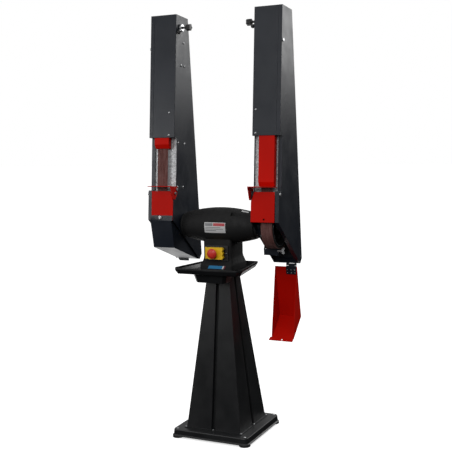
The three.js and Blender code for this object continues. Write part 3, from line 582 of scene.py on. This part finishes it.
def motor_housing():
    """The barrel, stepped down beside its middle saddle, front and back."""
    half, steps = MOTOR_HALF - MOTOR_EDGE, 28
    barrel = [half * k / (steps / 2) for k in range(-steps // 2, steps // 2 + 1)]
    edge_r, lip_r = MOTOR_END_R - MOTOR_EDGE - 2, MOTOR_END_R - 2.5
    profile = [(-MOTOR_HALF, MOTOR_BORE_R), (-MOTOR_HALF, edge_r), (-MOTOR_HALF + 2, lip_r)]
    profile += [(x, barrel_radius(x)) for x in barrel]
    profile += [(MOTOR_HALF - 2, lip_r), (MOTOR_HALF, edge_r), (MOTOR_HALF, MOTOR_BORE_R), profile[0]]
    step_end, past_barrel = MOTOR_HALF - 12, MOTOR_R + 3
    steps_down = []
    for sx in (-1, 1):
        for sy in (-1, 1):
            x = sorted((sx * SADDLE_HALF, sx * step_end))
            y = sorted((sy * STEP_Y, sy * past_barrel))
            steps_down.append(block((x[0], y[0], STEP_Z), (x[1], y[1], STEP_TOP)))
    housing = carved(lathe(profile, 96), steps_down)
    housing.transform(Matrix.Translation(AT_SHAFT))
    machine_piece("motor_shell", housing, "stand", "casting", "motor_housing")


def end_bell(side):
    sx = SIDES[side]
    low, high = span(f"{side}_end_bell")
    inner, outer = (low.x, high.x) if sx > 0 else (high.x, low.x)
    face, step = inner + sx * BELL_DEPTH, inner + sx * (BELL_DEPTH + 3)
    profile = [(inner, BELL_BORE_R), (inner, BELL_R), (face, BELL_R), (step, SPIGOT_R + 5),
               (step, SPIGOT_R), (outer, SPIGOT_R), (outer, BELL_BORE_R), (inner, BELL_BORE_R)]
    bell = lathe(rounded(profile, 1.5), 72, AT_SHAFT)
    machine_piece(f"{side}_bell", bell, "stand", "casting", f"{side}_end_bell")
    ring = BELL_R - 5
    screws = []
    for k in range(4):
        turn = math.radians(45 + 90 * k)
        spot = (face, ring * math.cos(turn), AT_SHAFT[2] + ring * math.sin(turn))
        screws.append(button_screw(spot, (sx, 0, 0), 3.6))
    machine_piece(f"{side}_bell_screws", joined(*screws), "stand", "steel")


def motor_shaft():
    low, high = span("motor_shaft")
    profile = [(low.x, 0), (low.x, SHAFT_END_R), (-SHAFT_STEP, SHAFT_END_R), (-SHAFT_STEP, SHAFT_R),
               (SHAFT_STEP, SHAFT_R), (SHAFT_STEP, SHAFT_END_R), (high.x, SHAFT_END_R), (high.x, 0)]
    shaft = lathe(rounded(profile, 1.0), 48, AT_SHAFT)
    machine_piece("shaft", shaft, "drive", "steel", "motor_shaft")


def cable_gland():
    low, high = span("cable_gland")
    at = ((low.x + high.x) / 2, 0, (low.z + high.z) / 2)
    front, rear = low.y, high.y
    sleeve = [(front, 4), (front, 7.6), (rear - 17.6, 7.6), (rear - 17.6, 10.6), (rear - 9, 11),
              (rear - 8, 9.5), (rear - 2, 8.4), (rear, 6), (rear, 4), (front, 4)]
    ring = [(rear - 17, 7), (rear - 17, 12), (rear - 11, 12), (rear - 11, 7), (rear - 17, 7)]
    nut = round_edges(lathe(ring, 6, at, "Y"), 0.5)
    gland = joined(lathe(rounded(sleeve, 0.5), 40, at, "Y"), nut)
    machine_piece("gland", gland, "stand", "black_plastic", "cable_gland")


def rating_plate():
    """A foil plate with plain printed bars, and a blank sticker."""
    silver, grey = printed("foil_silver", (0.62, 0.62, 0.62)), printed("foil_grey", (0.20, 0.20, 0.21))
    red, dark = printed("foil_red", (0.50, 0.06, 0.07)), printed("foil_dark", (0.10, 0.10, 0.11))
    plate_lift, ink_lift = 0.3, 0.75
    motor_patch("rating_plate", (-47, 50), (-19, 14), plate_lift, silver)
    motor_patch("plate_head_left", (-44, -8), (3, 12), ink_lift, grey, 0.15)
    motor_patch("plate_head_right", (-5, 47), (3, 12), ink_lift, red, 0.15)
    for row, end in enumerate((28, 40, 8)):
        angle = -1.5 - 5 * row
        around = (angle - 0.7, angle + 0.7)
        motor_patch(f"plate_bar_{row + 1}", (-42, end), around, ink_lift, dark, 0.12)
    motor_patch("motor_sticker", (104, 134), (66, 75), plate_lift, silver)


def motor():
    refined("neck", 2.5, 3)
    motor_housing()
    for side in SIDES:
        end_bell(side)
    for node in ("stator", "rotor", "left_bearing", "right_bearing"):
        refined(node, 0.6, 2, 40)
    motor_shaft()
    cable_gland()
    rating_plate()


TYRE_THICK = 7


def wheel_hub(r, half):
    """The cast hub, with six round holes in its web."""
    web, boss_r, bore, inner, outer = 6, 24, 10.3, -half - 8, half + 6
    bed, rim, root = r - TYRE_THICK, r - 12, r - 17
    profile = [(inner, bore), (inner, boss_r), (-web, boss_r), (-web, root), (-half + 1, rim),
               (-half + 1, bed), (half - 1, bed), (half - 1, rim), (web, root), (web, boss_r),
               (outer, boss_r), (outer, bore), (inner, bore)]
    ring, hole_r, past_web = 48, 13, 20
    drill = [(-past_web, 0), (-past_web, hole_r), (past_web, hole_r), (past_web, 0)]
    holes = []
    for k in range(6):
        turn = math.radians(60 * k)
        holes.append(lathe(drill, 24, (0, ring * math.cos(turn), ring * math.sin(turn))))
    return carved(lathe(rounded(profile, 1.5), 96), holes, 0.8)


def wheel_tyre(r, half):
    """The rubber tyre, cut with slanting grooves."""
    tyre = bmesh.new()
    count, across, groove, slant, chamfer, bed = 288, 6, 1.6, 0.8, 1.2, r - TYRE_THICK
    loops = []
    for i in range(across + 1):
        x, at_edge = -half + 2 * half * i / across, i in (0, across)
        ring = []
        for k in range(count):
            turn = 2 * math.pi * (k + slant * i) / count
            in_groove = (k // 2) % 3 == 0
            radius = r - (chamfer if at_edge else groove if in_groove else 0)
            ring.append(tyre.verts.new((x, radius * math.cos(turn), radius * math.sin(turn))))
        loops.append(ring)
    for x in (half, -half):
        turns = [2 * math.pi * k / count for k in range(count)]
        loops.append([tyre.verts.new((x, bed * math.cos(t), bed * math.sin(t))) for t in turns])
    for a, b in zip(loops, loops[1:] + loops[:1]):
        for k in range(count):
            m = (k + 1) % count
            tyre.faces.new((a[k], a[m], b[m], b[k]))
    return tyre


def contact_wheel(side):
    """Drawn with its nut towards +X, and mirrored on the left."""
    sx, r, half = SIDES[side], WHEEL_R, BELT_HALF
    place = Matrix.Translation((sx * BELT_MID * MM, 0, SHAFT.z)) @ Matrix.Diagonal((sx, 1, 1, 1)) @ MACHINE
    finish_piece(f"{side}_wheel_hub", wheel_hub(r, half), place, "drive", "casting",
                 (f"{side}_contact_wheel",))
    low, high = half - 2, half + 0.4
    rim = [(low, r - 14), (high, r - 14), (high, r - 10), (low, r - 10), (low, r - 14)]
    finish_piece(f"{side}_wheel_rim", lathe(rounded(rim, 0.5), 96), place, "drive", "aluminium")
    finish_piece(f"{side}_wheel_tyre", wheel_tyre(r, half), place, "drive", "rubber")
    bore, seat, top, end = 10.2, half + 6, half + 9, half + 13
    washer = [(seat, bore), (seat, 17), (top, 17), (top, bore), (seat, bore)]
    hexagon = [(top, bore), (top, 15), (end, 15), (end, bore), (top, bore)]
    nut = joined(lathe(rounded(washer, 0.6), 40), lathe(hexagon, 6))
    finish_piece(f"{side}_wheel_nut", nut, place, "drive", "steel")


# ------------------------------------------------------------------ switch
FLAP_LEFT, FLAP_RIGHT, FLAP_PIN_X = -34, 37, -47
FLAP_LOW, FLAP_HIGH = span("switch_flap")
SWITCH_Z = (FLAP_LOW.z + FLAP_HIGH.z) / 2
STOP_LOW, STOP_HIGH = span("emergency_stop")
AT_STOP = ((STOP_LOW.x + STOP_HIGH.x) / 2, 0, SWITCH_Z)


def flap_outline(low, high):
    """The lid's outline as (x, z), with its right edge in three finger lobes."""
    lobes, bulge, corner, left = 3, 5, 5, FLAP_LEFT
    cut, lobe, edge = corner * 0.3, (high - low) / lobes, FLAP_RIGHT - bulge
    outline = [(left, low + corner), (left + cut, low + cut), (left + corner, low), (edge, low)]
    for k in range(lobes):
        for step in range(1, 9):
            t = step / 8
            outline.append((edge + bulge * math.sin(math.pi * t), low + (k + t) * lobe))
    return outline + [(left + corner, high), (left + cut, high - cut), (left, high - corner)]


def flap():
    """The hollow lid over the keys, with its hinge barrel and the collar round the stop's stem."""
    front, back, low, high = FLAP_LOW.y, FLAP_HIGH.y, FLAP_LOW.z, FLAP_HIGH.z
    inside = block((FLAP_LEFT + 2, front + 2, low + 2), (FLAP_RIGHT - 9, back + 5, high - 2))
    stem = lathe([(front - 5, 0), (front - 5, 7), (front + 5, 7), (front + 5, 0)], 40, AT_STOP, "Y")
    lid = carved(prism(flap_outline(low, high), front, back), [inside, stem], 1.1)
    pin = rounded([(low, 0), (low, 3), (high, 3), (high, 0)], 0.5)
    barrel = lathe(pin, 24, (FLAP_PIN_X, back - 4.5, 0), "Z")
    tongue = block((FLAP_PIN_X, back - 6.5, low + 1), (FLAP_LEFT + 1, back - 2.5, high - 1), 0.6)
    lip, root = front - 1.2, front + 1
    ring = [(lip, 7), (lip, 16), (root, 18), (root, 7), (lip, 7)]
    collar = lathe(rounded(ring, 0.5), 48, AT_STOP, "Y")
    machine_piece("flap_lid", joined(lid, barrel, tongue, collar), "flap", "yellow_plastic", "switch_flap")


def switch():
    refined("switch_body", 1.2, 3)
    flap()
    face = span("switch_body")[0].y
    stud = [(face + 0.2, 0), (face - 3, 0.01), (face - 3, 2.6), (face, 3.4), (face + 0.5, 3.4),
            (face + 0.5, 0)]
    latch = lathe(rounded(stud, 0.4), 24, (47.5, 0, SWITCH_Z), "Y")
    machine_piece("flap_latch", latch, "stand", "steel")
    tip, root, r = STOP_LOW.y, STOP_HIGH.y, (STOP_HIGH.x - STOP_LOW.x) / 2 + 2.5
    head = [(tip, 0), (tip + 0.3, 8), (tip + 1.5, 13), (tip + 4, 17), (tip + 7, r), (tip + 10.5, r),
            (tip + 12, r - 2), (tip + 13, 12), (tip + 16, 6.4), (root, 6.4), (root, 0)]
    mushroom = lathe(rounded(head, 1.2, 4), 64, AT_STOP, "Y")
    machine_piece("stop_mushroom_head", mushroom, "stop_mushroom", "red_plastic", "emergency_stop")
    keys = (("stop_button", "stop_key", "red_plastic"), ("start_button", "start_key", "green_plastic"))
    for node, body, slot in keys:
        low, high = span(node)
        cap = [(low.y, 0), (low.y + 0.4, 6), (low.y, 8), (low.y + 0.8, 9), (high.y, 9), (high.y, 0)]
        key = lathe(rounded(cap, 0.7), 48, ((low.x + high.x) / 2, 0, SWITCH_Z), "Y")
        machine_piece(node + "_key", key, body, slot, node)


def neck_strip():
    """A plain printed strip on the foot of the neck."""
    face, low, high, slant = span("neck")[0].y, 719.5, 732.5, 3
    parts = (("strip_blue", -34, 30, (0.02, 0.20, 0.42)), ("strip_white", 31, 37, (0.7, 0.7, 0.7)),
             ("strip_red", 38, 44, (0.16, 0.02, 0.03)))
    for name, x0, x1, ink in parts:
        outline = [(x0 - slant, low), (x1 - slant, low), (x1 + slant, high), (x0 + slant, high)]
        finish_piece(name, prism(outline, face - 0.6, face - 0.1), MACHINE, "stand", "aluminium",
                     look=printed("ink_" + name, ink))


# ------------------------------------------------------------------ arms
def belt_loop(offset):
    """The belt's path round the wheel and the idler, as (y, z) at a distance outside them."""
    arc_steps, run_steps, gap = 48, 24, 0.3
    drive, idler = WHEEL_R + gap + offset, IDLER_R + gap + offset
    centre = Vector((IDLER_AT.y, IDLER_AT.z))
    lean = math.atan2(centre.y, centre.x)
    swing = math.acos((drive - idler) / centre.length)
    points = []
    for k in range(arc_steps + 1):
        turn = lean + swing + (2 * math.pi - 2 * swing) * k / arc_steps
        points.append(Vector((drive * math.cos(turn), drive * math.sin(turn))))
    top = []
    for k in range(arc_steps + 1):
        turn = lean - swing + 2 * swing * k / arc_steps
        top.append(centre + Vector((idler * math.cos(turn), idler * math.sin(turn))))
    rise, fall = ([a.lerp(b, k / run_steps) for k in range(1, run_steps)]
                  for a, b in ((points[-1], top[0]), (top[-1], points[0])))
    return points + rise + top + fall


def belt(side):
    shape = bmesh.new()
    columns = []
    for offset, x in ((0, -1), (0, 1), (BELT_THICK, 1), (BELT_THICK, -1)):
        path = belt_loop(offset)
        columns.append([shape.verts.new((BELT_MID + x * BELT_HALF, y, z)) for y, z in path])
    count = len(columns[0])
    for a, b in zip(columns, columns[1:] + columns[:1]):
        for k in range(count):
            m = (k + 1) % count
            shape.faces.new((a[k], a[m], b[m], b[k]))
    arm_piece(side, "abrasive_belt", shape, "arm", "abrasive", "belt")


def idler(side):
    """A crowned drum, dished at both ends."""
    r, half, at = IDLER_R, BELT_HALF + 1, (BELT_MID, IDLER_AT.y, IDLER_AT.z)
    crown = [(half * (k / 6), r - 0.9 * (k / 6) ** 2) for k in range(-6, 7)]
    dish, lip, floor, bore, edge = half - 4, 19, 17, 8.4, r - 3
    profile = [(-half, lip), (-half, edge), *crown, (half, edge), (half, lip), (dish, floor), (dish, bore),
               (-dish, bore), (-dish, floor), (-half, lip)]
    arm_piece(side, "idler_drum", lathe(profile, 80, at), "idler", "aluminium", "idler_wheel")


def spring(side):
    radius, wire, turns, seat, height = 6.8, 1.1, 5, 708.5, 34.5
    low, high = seat + wire, seat + height
    centre, up = Vector((INNER_X + 23, IDLER_AT.y, 0)), Vector((0, 0, 1))
    steps, around = turns * 32, 12
    shape = bmesh.new()
    rings = []
    for k in range(steps + 1):
        t = k / steps
        turn = 2 * math.pi * turns * t
        out = Vector((math.cos(turn), math.sin(turn), 0))
        spot = centre + radius * out + Vector((0, 0, low + (high - low) * t))
        ring = []
        for m in range(around):
            angle = 2 * math.pi * m / around
            ring.append(shape.verts.new(spot + wire * (math.cos(angle) * out + math.sin(angle) * up)))
        rings.append(ring)
    for a, b in zip(rings, rings[1:]):
        for m in range(around):
            n = (m + 1) % around
            shape.faces.new((a[m], a[n], b[n], b[m]))
    for ring in (rings[0], rings[-1]):
        shape.faces.new(ring)
    arm_piece(side, "coil_spring", shape, "idler_carrier", "steel", "tension_spring")


def lever(side):
    """The lever's collar and rod, with a ball on the end."""
    y, z = LEVER_AT.y, LEVER_AT.z
    bore, start, end, hollow = 5.4, 169, 186, 179.4
    profile = [(start, bore), (start, 15), (171, 17), (177, 17), (hollow, 13), (hollow, 7), (end, 7),
               (end, bore), (start, bore)]
    collar = lathe(rounded(profile, 1.0), 64, (0, y, z))
    ball, base = Vector((171, y - 32, z - 25)), Vector((174, y - 10, z - 8))
    reach = (ball - base).length - 4
    rod = lathe([(0, 0), (0, 5), (reach, 3), (reach, 0)], 32)
    rod.transform(facing(base, ball - base))
    arm_piece(side, "lever_arm", joined(collar, rod), "lever", "chrome", "tension_lever")
    r, angles = 8.5, [math.radians(a) for a in range(35, 180, 12)]
    arc = [(-r * math.cos(a), r * math.sin(a)) for a in angles]
    grip = lathe([(-8, 0), (-8, 4), *arc, (r, 0)], 40)
    grip.transform(facing(ball, ball - base))
    arm_piece(side, "lever_ball", grip, "lever", "black_plastic")


def tracking_knob(side):
    """A grip of five lobes on a stepped neck."""
    low, high, shoulder, end, count = 131, 150, 154, 185, 90
    lobes = []
    for k in range(count):
        turn = 2 * math.pi * k / count
        r = 13 + 1.6 * math.cos(5 * turn)
        lobes.append((r * math.cos(turn), r * math.sin(turn)))
    head = round_edges(prism(lobes, low, high, "X"), 1.5, 3, 50)
    cap = lathe(rounded([(low - 0.01, 0), (low - 0.01, 7), (low + 1, 7), (low + 1, 0)], 0.3), 40)
    neck = lathe([(high - 1, 0), (high - 1, 10), (shoulder, 8), (shoulder, 5), (end, 5), (end, 0)], 40)
    shape = joined(head, cap, neck)
    shape.transform(Matrix.Translation((0, LEVER_AT.y, LEVER_AT.z)))
    arm_piece(side, "tracking_grip", shape, "knob", "black_plastic", "tracking_knob")


INNER_SCREWS = [(-72, 347), (-19, 347), (-74, 159), (-26, 160), (-59, 678), (-29, 678), (-40, 776)]
COVER_SCREW_X = {"left": 207, "right": 194}
COVER_SCREW_Y, COVER_SCREW_Z = -107.6, (473, 378)
LOCK_KNOBS = [(-99, 748), (-99, 129)]
REST_X, REST_BOLTS = 176, [(-86, 148), (-99, 132)]


def arm_fasteners(side):
    shapes = [button_screw((INNER_X, y, z), (-1, 0, 0), 5.2) for y, z in INNER_SCREWS]
    for z in COVER_SCREW_Z:
        shapes.append(button_screw((COVER_SCREW_X[side], COVER_SCREW_Y, z), (0, -1, 0), 4.4))
    arm_piece(side, "screws", joined(*shapes), "arm", "chrome")
    end = LOCK_PROUD
    knob = [(0, 0), (0, 7.5), (1.2, 7.8), (2, 6.6), (end - 0.4, 6.6), (end, 5.5), (end, 0)]
    shapes = []
    for y, z in LOCK_KNOBS:
        shape = lathe(rounded(knob, 0.4), 32)
        shape.transform(facing((OUTER_X, y, z), (1, 0, 0)))
        shapes.append(shape)
    arm_piece(side, "cover_locks", joined(*shapes), "arm", "chrome")
    shapes = [hex_bolt((REST_X, y, z), (-1, 0, 0), 4.8) for y, z in REST_BOLTS]
    arm_piece(side, "rest_bolts", joined(*shapes), "rest", "steel")


def latch_knob():
    """A round quarter-turn latch with a finger bar in its recess, on the left door."""
    place, body = arm_matrix("left"), "left_latch"
    at = arm_local("left", JOINTS["left_latch_turn"]["pos_m"])
    axis, y = (at.x, 0, at.z), at.y - 0.3
    ring = [(y - 3.8, 0), (y - 3.8, 4.6), (y - 6, 4.8), (y - 6, 6.4), (y - 5, 7), (y - 1, 7), (y, 6),
            (y, 3.4), (y + 2, 3.4), (y + 2, 0)]
    bar = block((at.x - 1.3, y - 6.8, at.z - 4.2), (at.x + 1.3, y - 3.4, at.z + 4.2), 0.5, 3)
    grip = joined(lathe(rounded(ring, 0.5), 48, axis, "Y"), bar)
    finish_piece("latch_grip", grip, place, body, "chrome", ("left_latch_knob",))
    dish = [(y - 4.3, 0), (y - 4.3, 4.3), (y - 3.9, 4.3), (y - 3.9, 0)]
    finish_piece("latch_dish", lathe(dish, 40, axis, "Y"), place, body, "black_plastic")


LEAF_X, KNUCKLE_X, KNUCKLE_R = (237.6, 284.4), (249.7, 276.3), 4.8


def door_hinge(side):
    """The hinge's dark leaf on the door's inner face, its knuckle and their strap."""
    hinge = Matrix.Translation((0, HINGE_AT.y, HINGE_AT.z))
    swing = hinge @ Matrix.Rotation(math.radians(DOOR_ANGLE[side]), 4, "X") @ hinge.inverted()
    place, body = arm_matrix(side) @ swing, f"{side}_lower_door"
    leaf = [(109.4, -148.3), (141.5, -156.7), (141.5, -153.3), (109.4, -145.1)]
    # The leaf runs on at full width until it meets the frame's knuckles
    apron = [(136.6, -160.0), (141.6, -163.9), (144.4, -158.9), (136.6, -154.8)]
    strap = [(136.6, -159.8), (146.9, -168.6), (151.6, -161.4), (136.6, -154.8)]
    shapes = []
    for outline, across, edge in ((leaf, LEAF_X, 0.6), (apron, LEAF_X, 0.6), (strap, KNUCKLE_X, 0.4)):
        shapes.append(round_edges(prism(outline, *across, "X"), edge))
    low, high = KNUCKLE_X
    knuckle = [(low, 0), (low, KNUCKLE_R), (high, KNUCKLE_R), (high, 0)]
    shapes.append(lathe(rounded(knuckle, 0.6), 40, (0, HINGE_AT.y, HINGE_AT.z)))
    finish_piece(f"{side}_door_hinge", joined(*shapes), place, body, "coat")
    # The way down the leaf, and the way out of its face
    slope, out = Vector((0, 29.2, -7.5)).normalized(), Vector((0, 7.5, 29.2)).normalized()
    screws = []
    for x in (244, 261, 278):
        for down in (0, 13):
            screws.append(button_screw(Vector((x, 116, -146.8)) + slope * down, out, 2.2))
    finish_piece(f"{side}_hinge_screws", joined(*screws), place, body, "steel")


def chute_wing_screw(side):
    """The wing screw at the deflector's outer end."""
    y, z, root, tip, thick = 11.5, -100, 252, 272, 4.4
    stem = lathe(rounded([(root, 0), (root, 3.4), (tip, 3.4), (tip, 0)], 0.5), 32, (0, y, z))
    wing = [(270, -4), (272, -11), (279, -14), (284, -10), (279.5, 0)]
    outline = wing + [(x, -rise) for x, rise in reversed(wing[:-1])]
    sheet = prism([(x, z + rise) for x, rise in outline], y - thick / 2, y + thick / 2)
    wings = round_edges(sheet, 1.0, 3)
    arm_piece(side, "wing_screw", joined(stem, wings), "arm", "chrome")


def arm(side):
    edges = {"side_frame": 0.9, "front_cover": 1.7, "back_plate": 0.6, "platen": 1.0, "tool_rest": 0.8,
             "lower_plate": 0.6, "dust_chute": 0.4, "belt_guard": 0.9, "door": 0.6, "idler_slide": 0.8}
    for node, width in edges.items():
        refined(f"{side}_{node}", width, 3)
    refined(f"{side}_outer_cover", 1.6, 3, reach=OUTER_X + LOCK_PROUD / 2)
    refined(f"{side}_hinge_leaf", 0.5, 3, slot="coat")
    belt(side)
    idler(side)
    spring(side)
    lever(side)
    tracking_knob(side)
    arm_fasteners(side)
    door_hinge(side)
    chute_wing_screw(side)
    contact_wheel(side)


# ------------------------------------------------------------------ studio
CAMERA_AT, CAMERA_LENS = (1.59663, -3.27497, 1.27346), 68.49
CAMERA_ANGLES = (25.7381, 5.9648, -1.3197)


def camera():
    """The camera's angles are its turn to the left, its tilt down and its roll, in degrees."""
    yaw, pitch, roll = (math.radians(angle) for angle in CAMERA_ANGLES)
    forward = Vector((-math.sin(yaw) * math.cos(pitch), math.cos(yaw) * math.cos(pitch), -math.sin(pitch)))
    right = Vector((math.cos(yaw), math.sin(yaw), 0))
    up = right.cross(forward)
    level_right = math.cos(roll) * right + math.sin(roll) * up
    level_up = -math.sin(roll) * right + math.cos(roll) * up
    data = bpy.data.cameras.new("camera")
    data.sensor_width = 36
    data.lens = CAMERA_LENS
    eye = bpy.data.objects.new("camera", data)
    turn = Matrix((level_right, level_up, -forward)).transposed().to_4x4()
    eye.matrix_world = Matrix.Translation(CAMERA_AT) @ turn
    bpy.context.scene.collection.objects.link(eye)
    bpy.context.scene.camera = eye


def area_light(name, at, towards, size, watts):
    """A soft box that lights the machine without showing in the view itself."""
    data = bpy.data.lights.new(name, "AREA")
    data.shape = "RECTANGLE"
    data.size, data.size_y = size
    data.energy = watts
    lamp = bpy.data.objects.new(name, data)
    lamp.location = at
    lamp.rotation_euler = (Vector(towards) - Vector(at)).to_track_quat("-Z", "Y").to_euler()
    lamp.visible_camera = False
    bpy.context.scene.collection.objects.link(lamp)


def studio_floor():
    shape = bmesh.new()
    bmesh.ops.create_grid(shape, x_segments=1, y_segments=1, size=30)
    mesh = bpy.data.meshes.new("floor")
    shape.to_mesh(mesh)
    shape.free()
    floor = bpy.data.objects.new("floor", mesh)
    bpy.context.scene.collection.objects.link(floor)
    ground = Shader("floor_paint", 0.9, specular=0.1)
    ground.colour(ground.ramp(ground.noise(0.6, 2), [(0.3, (0.95, 0.95, 0.95)), (0.7, (0.97, 0.97, 0.97))]))
    ground.surface.inputs["Emission Color"].default_value = (1, 1, 1, 1)
    ground.surface.inputs["Emission Strength"].default_value = 0.6
    mesh.materials.append(ground.material)
    floor.visible_glossy = False
    floor.visible_diffuse = False


def studio_world():
    """A white room to look at, that lights the machine from above the horizon only."""
    world = bpy.data.worlds.new("studio")
    world.use_nodes = True
    tree = world.node_tree
    background = tree.nodes["Background"]
    place = tree.nodes.new("ShaderNodeTexCoord").outputs["Generated"]
    height = tree.nodes.new("ShaderNodeSeparateXYZ")
    tree.links.new(place, height.inputs["Vector"])
    glow = tree.nodes.new("ShaderNodeMapRange")
    glow.interpolation_type = "SMOOTHSTEP"
    for socket, value in (("From Min", -0.08), ("From Max", 0.6), ("To Min", 0.01), ("To Max", 0.6)):
        glow.inputs[socket].default_value = value
    tree.links.new(height.outputs["Z"], glow.inputs["Value"])
    rays = tree.nodes.new("ShaderNodeLightPath").outputs["Is Camera Ray"]
    seen = tree.nodes.new("ShaderNodeMath")
    seen.operation = "MAXIMUM"
    tree.links.new(rays, seen.inputs[0])
    tree.links.new(glow.outputs["Result"], seen.inputs[1])
    tree.links.new(seen.outputs["Value"], background.inputs["Strength"])
    background.inputs["Color"].default_value = (1, 1, 1, 1)
    bpy.context.scene.world = world


def studio():
    studio_floor()
    studio_world()
    area_light("key", (0.6, -3.6, 2.5), (0, 0, 1.1), (2.0, 2.0), 44)
    area_light("front_card", (-1.95, -2.4, 1.35), (-0.24, 0, 1.3), (0.9, 1.1), 13)
    area_light("rear_card", (2.3, 3.9, 3.0), (0.1, 0, 1.4), (3.2, 2.4), 70)
    area_light("floor_card", (-1.1, 1.35, 0.02), (-1.1, 1.35, 1.0), (2.4, 2.0), 22)
    bpy.context.scene.view_settings.view_transform = "Standard"


camera()
stand()
motor()
switch()
neck_strip()
for name in SIDES:
    arm(name)
latch_knob()
studio()
